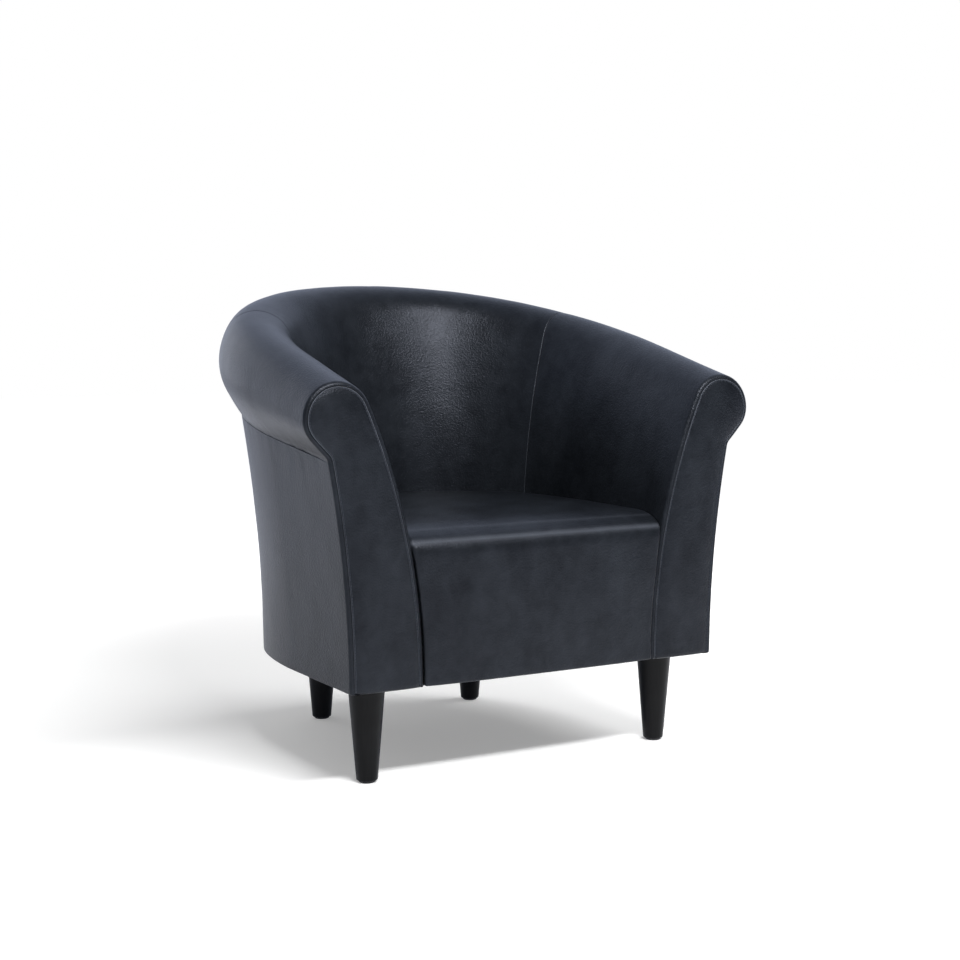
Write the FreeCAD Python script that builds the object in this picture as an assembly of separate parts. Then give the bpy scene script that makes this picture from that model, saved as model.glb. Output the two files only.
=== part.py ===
import FreeCAD, Part
import math
import os

# A club chair: a rolled tub back that runs down into scrolled arms, a tight sprung seat and four
# turned legs. Millimetres, +Z up, the front faces -Y, and the origin is on the floor under the
# middle of the chair. Left and right are as seen from the front. Heights of the body start at its
# underside, and distances along the wall start at its front plane and follow its bottom edge.

# Plan of the body along its bottom edge
BODY_HALF_WIDTH = 329.5
BODY_DEPTH = 602.0
SIDE_STRAIGHT = 209.5  # straight run of each side, from the front plane
SIDE_RADIUS = 650.0  # gentle arc between the straight run and the round back
PANEL_SEAM = 415.0  # along the wall, where the arm panels meet the back panels

# Cross-section of the arm at the front plane
ARM_HEIGHT = 458.5
ARM_ROLL_RISE = 54.5  # top of the roll over its widest point
ARM_NECK_DROP = 62.0  # widest point of the roll over the neck under it
ARM_FLARE = 31.5  # neck outside the bottom edge
ARM_ROLL_REACH = 39.0  # widest point outside the neck
ARM_CREST_IN = 54.5  # top of the roll inside its widest point
ARM_UNDER_SLOPE = 45.0
ARM_INNER_RADIUS = 54.5
ARM_LEAN = 24.0
ARM_FOOT = 122.0  # thickness of the wall at the bottom

# Cross-section of the back at its middle
BACK_HEIGHT = 612.0
BACK_ROLL_RISE = 92.5
BACK_NECK_DROP = 104.0
BACK_FLARE = 32.5
BACK_ROLL_REACH = 33.5
BACK_CREST_IN = 65.0
BACK_UNDER_SLOPE = 66.0
BACK_INNER_RADIUS = 64.0
BACK_LEAN = 14.0
BACK_FOOT = 126.0

# How the arm's section turns into the back's along the wall
SHAPE_POWER = 1.48
RISE_POWER = 1.56
RISE_SWAY = 0.026
NECK_RADIUS = 15.0

# Seat
SEAT_HEIGHT = 243.0  # middle of the seat over the body's underside
SEAT_PROUD = 6.0  # front panel in front of the arm facings
SEAT_EDGE_RADIUS = 28.0
SEAT_CROWN = 9.0  # middle of the seat over its edges
SEAT_FOAM = 84.0
TUCK_DEPTH = 66.0  # wall covers reach this far below the seat
FRONT_PAD = 16.0

# Upholstery layers
COVER = 1.5
PAD = 20.0
OUTER_BOARD = 3.0
INNER_BOARD = 3.0
CLOTH = 0.8
GAP = 0.3  # room between layers that lie on each other
FACING_THICK = 10.0
FACING_ROUND = 6.0

# Timber frame
PLY = 18.0  # arm panels, ribs and base
RAIL_THICK = 22.0
EASE = 0.6  # more room where a straight or square-cut board meets a curved layer
BASE_WIDTH = 120.0
REAR_RAIL_IN = 118.0  # back face of the rear rail, inside the bottom edge at the back
REAR_RAIL_HALF = 185.0
SIDE_RAIL_IN = 84.0  # outer face of the side rails, inside the bottom edge
TOP_RAIL_WIDTH = 22.0
TOP_RAIL_HEIGHT = 24.0
TOP_RAIL_DROP = 2.6  # flat top of the rail under the round of the padding
ARM_RIB_AT = 190.0  # along the wall
BACK_RIB_FROM_MIDDLE = 181.0  # along the wall, from the middle of the back
INNER_BOARD_TOP = 30.0  # inner boards stop this far below the round of the roll

# Springs
SPRING_COUNT = 4
SPRINGS_WIDTH = 270.0  # between the middles of the outer springs
SPRING_BAR = 32.0  # straight length of one cross bar
SPRING_PITCH = 31.0
WIRE_RADIUS = 1.9
CLIP_SHEET = 1.4
CLIP_WIDTH = 16.0

# Legs
LEG_HEIGHT = 153.0  # floor to the body's underside
LEG_TOP_RADIUS = 29.0
LEG_FOOT_RADIUS = 16.5
LEG_EDGE = 2.5
LEG_INSET = 62.0  # middle of each leg inside the bottom edge
FRONT_LEG_BACK = 74.0  # middle of the front legs behind the front plane
REAR_LEG_HALF = 151.0
GLIDE_THICK = 3.0
GLIDE_RADIUS = 13.0
GLIDE_EDGE = 1.2
GLIDE_STEM_RADIUS = 2.0
GLIDE_STEM = 14.0
BOLT_RADIUS = 4.0
BOLT_IN_LEG = 45.0
BOLT_FIT = 0.1
NUT_BARREL_RADIUS = 5.5
NUT_BARREL = 12.0
NUT_FLANGE_RADIUS = 11.0
NUT_FLANGE = 1.6
BOLT_SUNK = 1.0  # end of the bolt below the top of the base
BOLT_HOLE_RADIUS = 7.0  # in the cloth under the base

# Sizes that follow from the ones above
V = FreeCAD.Vector
UP = V(0, 0, 1)
CHAIR_BACK = BODY_DEPTH + BACK_FLARE + BACK_ROLL_REACH
FRONT = (SEAT_PROUD - CHAIR_BACK) / 2  # front plane, so that the origin is in the middle
BASE = LEG_HEIGHT  # underside of the body
SEAT_TOP = BASE + SEAT_HEIGHT
TUCK = SEAT_HEIGHT - TUCK_DEPTH
WALL_MIDDLE = ARM_FOOT / 2  # middle of the wall's thickness, inside its bottom edge
LAYER = COVER + GAP  # under the covers
FRAME_IN = LAYER + PAD + GAP  # under the padding
INNER_IN = FRAME_IN + GAP  # inner boards, let into the ribs
BOARD_IN = LAYER + OUTER_BOARD + GAP  # under the outer boards
PANEL_FRONT = FACING_THICK + GAP
PANEL_BACK = PANEL_FRONT + PLY
BASE_BOTTOM = BASE + CLOTH + GAP
BASE_TOP = BASE_BOTTOM + PLY
RAIL_FOOT = BASE_TOP + GAP
DECK_TOP = SEAT_TOP - LAYER - SEAT_FOAM - GAP
WIRE_Z = DECK_TOP - CLOTH - 2 * GAP - CLIP_SHEET - WIRE_RADIUS
CLIP_HALF = WIRE_RADIUS + GAP + CLIP_SHEET
RAIL_TOP = WIRE_Z - CLIP_HALF
RAIL_FRONT = LAYER + FRONT_PAD + GAP - SEAT_PROUD  # behind the front plane
REAR_RAIL_BACK = BODY_DEPTH - REAR_RAIL_IN
FAR = 2 * (BODY_HALF_WIDTH + BODY_DEPTH)  # longer than anything here

# Round back of the plan: an arc about a point on the middle line, tangent to both side arcs
_side_in = BODY_HALF_WIDTH - SIDE_RADIUS
_curved_depth = BODY_DEPTH - SIDE_STRAIGHT
BACK_RADIUS = (_side_in**2 + _curved_depth**2 - SIDE_RADIUS**2) / (2 * (_curved_depth - SIDE_RADIUS))
BACK_CENTRE = BODY_DEPTH - BACK_RADIUS
SIDE_TURN = math.atan2(BACK_CENTRE - SIDE_STRAIGHT, -_side_in)
SIDE_ARC = SIDE_RADIUS * SIDE_TURN
WALL_LENGTH = SIDE_STRAIGHT + SIDE_ARC + BACK_RADIUS * (math.pi / 2 - SIDE_TURN)
BACK_RIB_AT = WALL_LENGTH - BACK_RIB_FROM_MIDDLE


def plan(distance, inside=0.0):
    """Place and outward direction on the right half of the wall's plan, in mm behind the front."""
    if distance <= SIDE_STRAIGHT:
        return BODY_HALF_WIDTH - inside, distance, 1.0, 0.0
    if distance <= SIDE_STRAIGHT + SIDE_ARC:
        turn = (distance - SIDE_STRAIGHT) / SIDE_RADIUS
        middle_x, middle_y, radius = _side_in, SIDE_STRAIGHT, SIDE_RADIUS
    else:
        turn = SIDE_TURN + (distance - SIDE_STRAIGHT - SIDE_ARC) / BACK_RADIUS
        middle_x, middle_y, radius = 0.0, BACK_CENTRE, BACK_RADIUS
    out_x = math.cos(turn)
    out_y = math.sin(turn)
    return middle_x + (radius - inside) * out_x, middle_y + (radius - inside) * out_y, out_x, out_y


def station(distance, side=1):
    """Foot of the wall and its outward direction at a distance along the wall; side -1 is left."""
    x, y, out_x, out_y = plan(distance)
    return V(side * x, y + FRONT, BASE), V(side * out_x, out_y, 0)


def place(at, point):
    foot, out = at
    return foot + out * point[0] + UP * point[1]


# Sections are runs of tangent arcs in the plane of a station. An arc is its first point (out, up),
# its first and last heading and its radius, which is negative where the run turns right.


def along(arc, heading):
    out, up, first, last, radius = arc
    out += radius * (math.sin(heading) - math.sin(first))
    up += radius * (math.cos(first) - math.cos(heading))
    return out, up


def end(arc):
    return along(arc, arc[3])


def arc_to(start, first, target):
    """The arc that leaves start with a heading and ends at target."""
    step_out = target[0] - start[0]
    step_up = target[1] - start[1]
    turn = math.atan2(step_up, step_out) - first
    half_turn = math.atan2(math.sin(turn), math.cos(turn))
    radius = math.hypot(step_out, step_up) / (2 * math.sin(half_turn))
    return start[0], start[1], first, first + 2 * half_turn, radius


def two_arcs(start, first, target, last):
    """Two tangent arcs between two points with a heading at each."""
    step = V(target[0] - start[0], target[1] - start[1], 0)
    leave = V(math.cos(first), math.sin(first), 0)
    arrive = V(math.cos(last), math.sin(last), 0)
    both = step.dot(leave + arrive)
    spread = 2 * (1 - leave.dot(arrive))
    reach = (math.sqrt(both**2 + spread * step.dot(step)) - both) / spread
    join = (V(start[0], start[1], 0) + V(target[0], target[1], 0) + (leave - arrive) * reach) * 0.5
    one = arc_to(start, first, (join.x, join.y))
    two = arc_to((join.x, join.y), one[3], target)
    return [one, two]


def inset(arcs, depth):
    """The same run, moved into the wall."""
    moved = []
    for out, up, first, last, radius in arcs:
        out -= depth * math.sin(first)
        up += depth * math.cos(first)
        moved.append((out, up, first, last, radius - depth))
    return moved


def cut_at_height(arc, height):
    """The last heading of a falling arc that is cut at a height."""
    out, up, first, last, radius = arc
    return 2 * math.pi - math.acos(math.cos(first) - (height - up) / radius)


class Section:
    """Outline of the wall at a distance along it, from the bottom edge over the roll to the inside."""

    def __init__(self, distance):
        share = min(max(distance / WALL_LENGTH, 0.0), 1.0)
        shape = 1 - (1 - share) ** SHAPE_POWER
        rise = 1 - (1 - share) ** RISE_POWER - RISE_SWAY * math.sin(2 * math.pi * share)

        def size(arm, back):
            return arm + (back - arm) * shape

        top = ARM_HEIGHT + (BACK_HEIGHT - ARM_HEIGHT) * rise
        widest = top - size(ARM_ROLL_RISE, BACK_ROLL_RISE)
        neck = widest - size(ARM_NECK_DROP, BACK_NECK_DROP)
        flare = size(ARM_FLARE, BACK_FLARE)
        reach = flare + size(ARM_ROLL_REACH, BACK_ROLL_REACH)
        self.crest = (reach - size(ARM_CREST_IN, BACK_CREST_IN), top)
        self.neck = neck
        under = math.radians(size(ARM_UNDER_SLOPE, BACK_UNDER_SLOPE))
        lean = math.radians(size(ARM_LEAN, BACK_LEAN))
        upright = math.pi / 2

        self.outside = arc_to((0.0, 0.0), upright, (flare, neck))
        fillet = (flare, neck, self.outside[3], under, -NECK_RADIUS)
        belly = two_arcs(end(fillet), under, (reach, widest), upright)
        shoulder = two_arcs((reach, widest), upright, self.crest, math.pi)
        inner_radius = size(ARM_INNER_RADIUS, BACK_INNER_RADIUS)
        inner_top = (*self.crest, math.pi, 1.5 * math.pi - lean, inner_radius)
        self.roll = [fillet, *belly, *shoulder, inner_top]
        foot = (-size(ARM_FOOT, BACK_FOOT), 0.0)
        self.inside = arc_to(end(inner_top), inner_top[3], foot)

    def tucked(self):
        """The inside from the roll to where the covers end below the seat."""
        out, up, first, last, radius = self.inside
        return out, up, first, cut_at_height(self.inside, TUCK), radius

    def lined(self):
        """The part of the inside that its own sheet of padding covers, just short of the roll's."""
        out, up, first, last, radius = self.tucked()
        start = first + GAP / radius
        return (*along(self.inside, start), start, last, radius)

    def boarded(self):
        """The part of the inside that has a board under its padding."""
        out, up, first, last, radius = self.tucked()
        start = cut_at_height(self.inside, up - INNER_BOARD_TOP)
        return (*along(self.inside, start), start, last, radius)

    def shell(self):
        """The part of the outside that a board and a cover close, just short of the neck."""
        out, up, first, last, radius = self.outside
        return out, up, first, last - GAP / radius, radius

    def all_round(self):
        return [self.outside, *self.roll, self.inside]


def line(start, stop):
    return Part.LineSegment(start, stop).toShape()


def run_edges(arcs, at, backwards=False):
    edges = []
    for arc in arcs:
        first, last = arc[2], arc[3]
        points = [place(at, along(arc, heading)) for heading in (first, (first + last) / 2, last)]
        if backwards:
            points.reverse()
        edges.append(Part.Arc(*points).toShape())
    if backwards:
        edges.reverse()
    return edges


def strip_wire(arcs, at, near, deep):
    """Closed outline of a layer that follows a run, between two depths in the wall."""
    skin = inset(arcs, near)
    core = inset(arcs, deep)
    finish = line(place(at, end(skin[-1])), place(at, end(core[-1])))
    begin = line(place(at, core[0][:2]), place(at, skin[0][:2]))
    return Part.Wire([*run_edges(skin, at), finish, *run_edges(core, at, True), begin])


def full_wire(section, at, depth):
    """Closed outline of the whole wall, some way inside its surface."""
    arcs = inset(section.all_round(), depth)
    bottom = line(place(at, end(arcs[-1])), place(at, arcs[0][:2]))
    return Part.Wire([*run_edges(arcs, at), bottom])


def spread(first, last, steps):
    return [first + (last - first) * step / steps for step in range(steps + 1)]


def arm_stations(first, last=PANEL_SEAM, steps=6):
    return [(distance, 1) for distance in spread(first, last, steps)]


def back_stations(first=PANEL_SEAM, steps=5):
    right = [(distance, 1) for distance in spread(first, WALL_LENGTH, steps)]
    left = [(distance, -1) for distance, _ in reversed(right[:-1])]
    return right + left


def layer(stations, run, near, deep):
    """A soft or thin layer of the wall: one outline at each station, joined smoothly."""
    wires = []
    for distance, side in stations:
        wires.append(strip_wire(run(Section(distance)), station(distance, side), near, deep))
    return Part.makeLoft(wires, True)


def wall(stations, depth):
    """The whole wall as one solid, used to trim what lies against it."""
    wires = [full_wire(Section(d), station(d, side), depth) for d, side in stations]
    return Part.makeLoft(wires, True)


def wall_room():
    """The room that the whole wall and its facings take from the seat."""
    facing = Part.Face(full_wire(Section(0.0), station(-2 * SEAT_PROUD), -GAP))
    facing = facing.extrude(V(0, 2 * SEAT_PROUD, 0))
    arm = facing.fuse(wall(arm_stations(0.0), -GAP))
    back = wall(back_stations(PANEL_SEAM), -GAP)
    return back.fuse([arm, mirrored(arm)])


def mirrored(shape):
    return shape.mirror(V(0, 0, 0), V(1, 0, 0))


def box(x0, x1, y0, y1, z0, z1):
    """A box whose y is measured behind the front plane."""
    return Part.makeBox(x1 - x0, y1 - y0, z1 - z0, V(x0, y0 + FRONT, z0))


def plan_edges(first, last, inside, height):
    """Edges of the right half of the plan between two distances, some way inside it."""
    edges = []
    marks = [first]
    for corner in (SIDE_STRAIGHT, SIDE_STRAIGHT + SIDE_ARC):
        if first < corner < last:
            marks.append(corner)
    marks.append(last)
    for start, stop in zip(marks, marks[1:]):
        points = []
        for distance in (start, (start + stop) / 2, stop):
            x, y, out_x, out_y = plan(distance, inside)
            points.append(V(x, y + FRONT, height))
        if stop <= SIDE_STRAIGHT:
            edges.append(line(points[0], points[2]))
        else:
            edges.append(Part.Arc(*points).toShape())
    return edges


def plan_block(front, inside, low, high):
    """A flat block with the plan of the body, some way inside it."""
    right = plan_edges(front, WALL_LENGTH, inside, low)
    left = [mirrored(edge) for edge in right]
    start = right[0].Vertexes[0].Point
    across = line(V(-start.x, start.y, start.z), start)
    wire = Part.Wire(Part.__sortEdges__([across, *right, *left]))
    return Part.Face(wire).extrude(UP * (high - low))


def rolled(section):
    return [*section.roll, section.tucked()]


def round_only(section):
    return section.roll


def lined(section):
    return [section.lined()]


def boarded(section):
    return [section.boarded()]


def shelled(section):
    return [section.shell()]


# Covers and padding of the wall


def wall_layers():
    """Covers, padding and boards of the right arm and of the back."""
    depths = {
        "cover": (rolled, 0.0, COVER),
        "roll_foam": (round_only, LAYER, LAYER + PAD),
        "inside_foam": (lined, LAYER, LAYER + PAD),
        "outside_cover": (shelled, 0.0, COVER),
        "outer_board": (shelled, LAYER, LAYER + OUTER_BOARD),
        "inner_board": (boarded, INNER_IN, INNER_IN + INNER_BOARD),
    }
    panel_room = box(0, FAR, 0, PANEL_BACK + GAP, 0, FAR)
    cloth_room = box(-FAR, FAR, 0, FAR, 0, BASE_BOTTOM)
    made = {}
    for name, (run, near, deep) in depths.items():
        arm = layer(arm_stations(PANEL_FRONT, PANEL_SEAM - GAP / 2), run, near, deep)
        back = layer(back_stations(PANEL_SEAM + GAP / 2), run, near, deep)
        if near > 0.0:
            arm = arm.cut(panel_room).cut(cloth_room)
            back = back.cut(cloth_room)
        made["arm_" + name] = arm
        made["back_" + name] = back
    return made


def facing_block(depth):
    """The padded face of the right arm, some way inside its surface, with a rounded front edge."""
    face = Part.Face(full_wire(Section(0.0), station(0.0), depth))
    block = face.extrude(V(0, FACING_THICK - depth, 0))
    block.translate(V(0, depth, 0))
    front = [edge for edge in block.Edges if edge.BoundBox.YMax < FRONT + depth + GAP / 2]
    round_the_scroll = [edge for edge in front if edge.BoundBox.ZMax > BASE + GAP]
    return block.makeFillet(FACING_ROUND - depth, round_the_scroll)


def facing_pad():
    pad = facing_block(LAYER)
    return pad.cut(box(0, FAR, -FAR, FAR, -FAR, BASE + GAP))


def facing_cover():
    return facing_block(0.0).cut(facing_block(COVER))


def plate(distance, depth):
    """A square-cut plywood plate across the wall, inside the wall's section at both of its faces."""
    at = station(distance)
    through = V(-at[1].y, at[1].x, 0) * PLY
    near = Part.Face(full_wire(Section(distance), at, depth)).extrude(through)
    far = Part.Face(full_wire(Section(distance + PLY), at, depth)).extrude(through)
    return near.common(far)


def arm_panel():
    """The scroll-cut plywood panel behind the facing, which the arm cover is fixed to."""
    return plate(PANEL_FRONT, LAYER).cut(box(0, FAR, 0, FAR, 0, BASE_BOTTOM))


# Seat


def seat_block(depth):
    """The crowned seat and front panel, some way inside the cover, before the wall trims it."""
    left = BODY_HALF_WIDTH
    front = depth - SEAT_PROUD
    top = SEAT_TOP - depth
    edge = SEAT_EDGE_RADIUS - depth
    brow = top - SEAT_CROWN
    back = BODY_DEPTH
    curl = edge * (1 - math.sqrt(0.5))

    def at(y, z):
        return V(0, y + FRONT, z)

    outline = [
        line(at(front, BASE), at(front, brow - edge)),
        Part.Arc(at(front, brow - edge), at(front + curl, brow - curl), at(front + edge, brow)).toShape(),
        Part.Arc(at(front + edge, brow), at((front + edge + back) / 2, top), at(back, brow)).toShape(),
        line(at(back, brow), at(back, BASE)),
        line(at(back, BASE), at(front, BASE)),
    ]
    side_view = Part.Face(Part.Wire(outline)).extrude(V(2 * left, 0, 0))
    side_view.translate(V(-left, 0, 0))

    def across(x, z):
        return V(x, front + FRONT, z)

    crown = [
        Part.Arc(across(-left, brow), across(0, top), across(left, brow)).toShape(),
        line(across(left, brow), across(left, BASE)),
        line(across(left, BASE), across(-left, BASE)),
        line(across(-left, BASE), across(-left, brow)),
    ]
    front_view = Part.Face(Part.Wire(crown)).extrude(V(0, back - front, 0))
    return side_view.common(front_view)


def seat_pieces(room):
    """Seat cover, seat foam and front pad, trimmed by the wall."""
    within = plan_block(-SEAT_PROUD, WALL_MIDDLE, BASE, SEAT_TOP)
    cover = seat_block(0.0).cut(seat_block(COVER)).common(within).cut(room)
    filling = seat_block(LAYER).common(within).cut(room)
    foam = filling.common(box(-FAR, FAR, -FAR, FAR, DECK_TOP + GAP, FAR))
    front = box(-FAR, FAR, -FAR, RAIL_FRONT - GAP, BASE_BOTTOM, DECK_TOP)
    return cover, foam, filling.common(front)


def deck_cloth(room):
    return plan_block(RAIL_FRONT, WALL_MIDDLE, DECK_TOP - CLOTH, DECK_TOP).cut(room)


# Timber frame


def rib(distance, notches):
    """A plywood rib across the wall, square cut, notched for what runs through it."""
    start = distance - PLY / 2
    foot, out = station(start)
    low_outside = Part.makeBox(FAR, FAR, Section(start).neck - PAD)
    low_outside.translate(V(-2 * FRAME_IN, -FAR / 2, 0))
    low_outside.rotate(V(0, 0, 0), UP, math.degrees(math.atan2(out.y, out.x)))
    low_outside.translate(foot)
    skirt = plate(start, BOARD_IN + EASE).common(low_outside)
    board = plate(start, FRAME_IN + EASE).fuse(skirt).removeSplitter()
    around = [(start + step * PLY, 1) for step in (-0.5, 0.5, 1.5)]
    recess = layer(around, boarded, FRAME_IN - GAP, INNER_IN + INNER_BOARD + GAP)
    board = board.cut(recess).cut(box(0, FAR, 0, FAR, 0, RAIL_FOOT))
    for notch in notches:
        board = board.cut(notch)
    return board


def top_rail(stations, room=0.0):
    """The rail in the roll that the ribs carry, or the room that it needs in them."""
    half = TOP_RAIL_WIDTH / 2 + room
    wires = []
    for distance, side in stations:
        out, top = Section(distance).crest
        high = top - FRAME_IN - TOP_RAIL_DROP + room * PAD
        low = top - FRAME_IN - TOP_RAIL_DROP - TOP_RAIL_HEIGHT - room
        corners = [(out - half, low), (out + half, low), (out + half, high), (out - half, high)]
        points = [place(station(distance, side), corner) for corner in corners]
        wires.append(Part.makePolygon(points + points[:1]))
    return Part.makeLoft(wires, True)


def base_arm():
    """Right side of the plywood base."""
    outer = plan_edges(PANEL_BACK + GAP, PANEL_SEAM - GAP / 2, BOARD_IN + EASE, BASE_BOTTOM)
    inner = plan_edges(PANEL_BACK + GAP, PANEL_SEAM - GAP / 2, BASE_WIDTH, BASE_BOTTOM)
    front = line(inner[0].Vertexes[0].Point, outer[0].Vertexes[0].Point)
    back = line(outer[-1].Vertexes[-1].Point, inner[-1].Vertexes[-1].Point)
    wire = Part.Wire(Part.__sortEdges__([*outer, back, *inner, front]))
    return Part.Face(wire).extrude(UP * PLY)


def base_back():
    """Round back of the plywood base, between the two seams."""
    outer = plan_edges(PANEL_SEAM + GAP / 2, WALL_LENGTH, BOARD_IN + EASE, BASE_BOTTOM)
    inner = plan_edges(PANEL_SEAM + GAP / 2, WALL_LENGTH, BASE_WIDTH, BASE_BOTTOM)
    right_end = line(outer[0].Vertexes[0].Point, inner[0].Vertexes[0].Point)
    right = [*outer, *inner, right_end]
    left = [mirrored(edge) for edge in right]
    wire = Part.Wire(Part.__sortEdges__(right + left))
    return Part.Face(wire).extrude(UP * PLY)


def front_rail():
    """The board across the front, between the arm panels."""
    half = BODY_HALF_WIDTH - WALL_MIDDLE
    board = box(-half, half, RAIL_FRONT, RAIL_FRONT + RAIL_THICK, BASE_BOTTOM, RAIL_TOP)
    panel = Part.Face(full_wire(Section(PANEL_FRONT), station(0.0), LAYER - GAP)).extrude(V(0, FAR, 0))
    return board.cut(panel).cut(mirrored(panel))


def rear_rail():
    """The board across the back of the seat frame."""
    front = REAR_RAIL_BACK - RAIL_THICK
    return box(-REAR_RAIL_HALF, REAR_RAIL_HALF, front, REAR_RAIL_BACK, RAIL_FOOT, RAIL_TOP)


def seat_room():
    """What the ribs of the back leave free for the rear rail, the springs and the deck."""
    half = REAR_RAIL_HALF + GAP
    return box(-half, half, 0, REAR_RAIL_BACK + GAP, 0, DECK_TOP + GAP)


def side_rail(room=0.0):
    """The right seat rail, from the arm panel to the rib at the seam."""
    outer = BODY_HALF_WIDTH - SIDE_RAIL_IN + room
    inner = BODY_HALF_WIDTH - SIDE_RAIL_IN - RAIL_THICK - room
    rail = box(inner, outer, PANEL_BACK + GAP, PANEL_SEAM, RAIL_FOOT - room, RAIL_TOP + room)
    foot, out = station(PANEL_SEAM - PLY / 2)
    stop = Part.makeBox(FAR, FAR, FAR)
    stop.translate(V(-FAR / 2, -GAP, -FAR / 2))
    stop.rotate(V(0, 0, 0), UP, math.degrees(math.atan2(out.y, out.x)))
    stop.translate(foot)
    return rail.cut(stop)


# Springs


def spring_places():
    step = SPRINGS_WIDTH / (SPRING_COUNT - 1)
    return [step * number - SPRINGS_WIDTH / 2 for number in range(SPRING_COUNT)]


def spring_ends():
    return RAIL_FRONT + RAIL_THICK / 2, REAR_RAIL_BACK - RAIL_THICK / 2


def spring(x):
    """One sinuous spring, from the front rail to the rear rail."""
    first, last = spring_ends()
    turns = round((last - first) / SPRING_PITCH)
    pitch = (last - first) / turns
    half = SPRING_BAR / 2
    edges = []
    for number in range(turns + 1):
        way = 1 if number % 2 == 0 else -1
        y = first + number * pitch + FRONT
        start = V(x - way * half, y, WIRE_Z)
        stop = V(x + way * half, y, WIRE_Z)
        edges.append(line(start, stop))
        if number < turns:
            bulge = V(x + way * (half + pitch / 2), y + pitch / 2, WIRE_Z)
            edges.append(Part.Arc(stop, bulge, stop + V(0, pitch, 0)).toShape())
    path = Part.Wire(edges)
    around = []
    for corner in range(6):
        turn = math.radians(60 * corner + 30)
        y = first + FRONT + WIRE_RADIUS * math.cos(turn)
        around.append(V(x - half, y, WIRE_Z + WIRE_RADIUS * math.sin(turn)))
    profile = Part.makePolygon(around + around[:1])
    wire = path.makePipeShell([profile], True, False)
    print("spring volume over its section times its length:", wire.Volume / (Part.Face(profile).Area * path.Length))
    print("least gap between the bars of a spring:", pitch - 2 * WIRE_RADIUS)
    return wire


def spring_clip(x, y):
    """A folded clip on a rail that holds the end bar of a spring."""
    block = box(
        x - CLIP_WIDTH / 2, x + CLIP_WIDTH / 2, y - CLIP_HALF, y + CLIP_HALF, RAIL_TOP, WIRE_Z + CLIP_HALF
    )
    length = [edge for edge in block.Edges if abs(edge.tangentAt(edge.FirstParameter).x) > 0.5]
    top = [edge for edge in length if edge.BoundBox.ZMin > WIRE_Z]
    block = block.makeFillet(WIRE_RADIUS, top)
    bore = Part.makeCylinder(
        WIRE_RADIUS + GAP, CLIP_WIDTH, V(x - CLIP_WIDTH / 2, y + FRONT, WIRE_Z), V(1, 0, 0)
    )
    return block.cut(bore)


# Legs


def leg_places():
    """Middles of the right legs: front and rear."""
    front = (BODY_HALF_WIDTH - LEG_INSET, FRONT_LEG_BACK + FRONT)
    ring = BACK_RADIUS - LEG_INSET
    rear = (REAR_LEG_HALF, BACK_CENTRE + math.sqrt(ring**2 - REAR_LEG_HALF**2) + FRONT)
    return {"front": front, "rear": rear}


def cylinder(x, y, radius, low, high):
    return Part.makeCylinder(radius, high - low, V(x, y, low))


def leg(x, y):
    """A turned, tapered leg, bored for its bolt and for the stem of its glide."""
    body = Part.makeCone(LEG_FOOT_RADIUS, LEG_TOP_RADIUS, BASE - GLIDE_THICK, V(x, y, GLIDE_THICK))
    rim = [edge for edge in body.Edges if edge.BoundBox.ZMax < GLIDE_THICK + GAP]
    body = body.makeFillet(LEG_EDGE, rim)
    body = body.cut(cylinder(x, y, BOLT_RADIUS + BOLT_FIT, BASE - BOLT_IN_LEG, BASE))
    return body.cut(cylinder(x, y, GLIDE_STEM_RADIUS + BOLT_FIT, GLIDE_THICK, GLIDE_THICK + GLIDE_STEM))


def hanger_bolt(x, y):
    return cylinder(x, y, BOLT_RADIUS, BASE - BOLT_IN_LEG, BASE_TOP - BOLT_SUNK)


def t_nut(x, y):
    """A flanged nut, set flush into the top of the base."""
    flange = cylinder(x, y, NUT_FLANGE_RADIUS, BASE_TOP - NUT_FLANGE, BASE_TOP)
    barrel = cylinder(x, y, NUT_BARREL_RADIUS, BASE_TOP - NUT_BARREL, BASE_TOP)
    bore = cylinder(x, y, BOLT_RADIUS + BOLT_FIT, BASE_BOTTOM, BASE_TOP)
    return flange.fuse(barrel).removeSplitter().cut(bore)


def nut_hole(x, y):
    seat = cylinder(x, y, NUT_FLANGE_RADIUS + BOLT_FIT, BASE_TOP - NUT_FLANGE, BASE_TOP)
    return seat.fuse(cylinder(x, y, NUT_BARREL_RADIUS + BOLT_FIT, BASE_BOTTOM, BASE_TOP))


def foot_glide(x, y):
    disc = cylinder(x, y, GLIDE_RADIUS, 0, GLIDE_THICK)
    rim = [edge for edge in disc.Edges if edge.BoundBox.ZMax < GAP]
    disc = disc.makeChamfer(GLIDE_EDGE, rim)
    return disc.fuse(cylinder(x, y, GLIDE_STEM_RADIUS, GLIDE_THICK, GLIDE_THICK + GLIDE_STEM)).removeSplitter()


def dust_cover(places):
    """The cloth under the base, with holes for the leg bolts."""
    sheet = plan_block(PANEL_FRONT, LAYER + EASE, BASE, BASE + CLOTH)
    for x, y in places:
        sheet = sheet.cut(cylinder(x, y, BOLT_HOLE_RADIUS, BASE, BASE + CLOTH))
    return sheet


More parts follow.
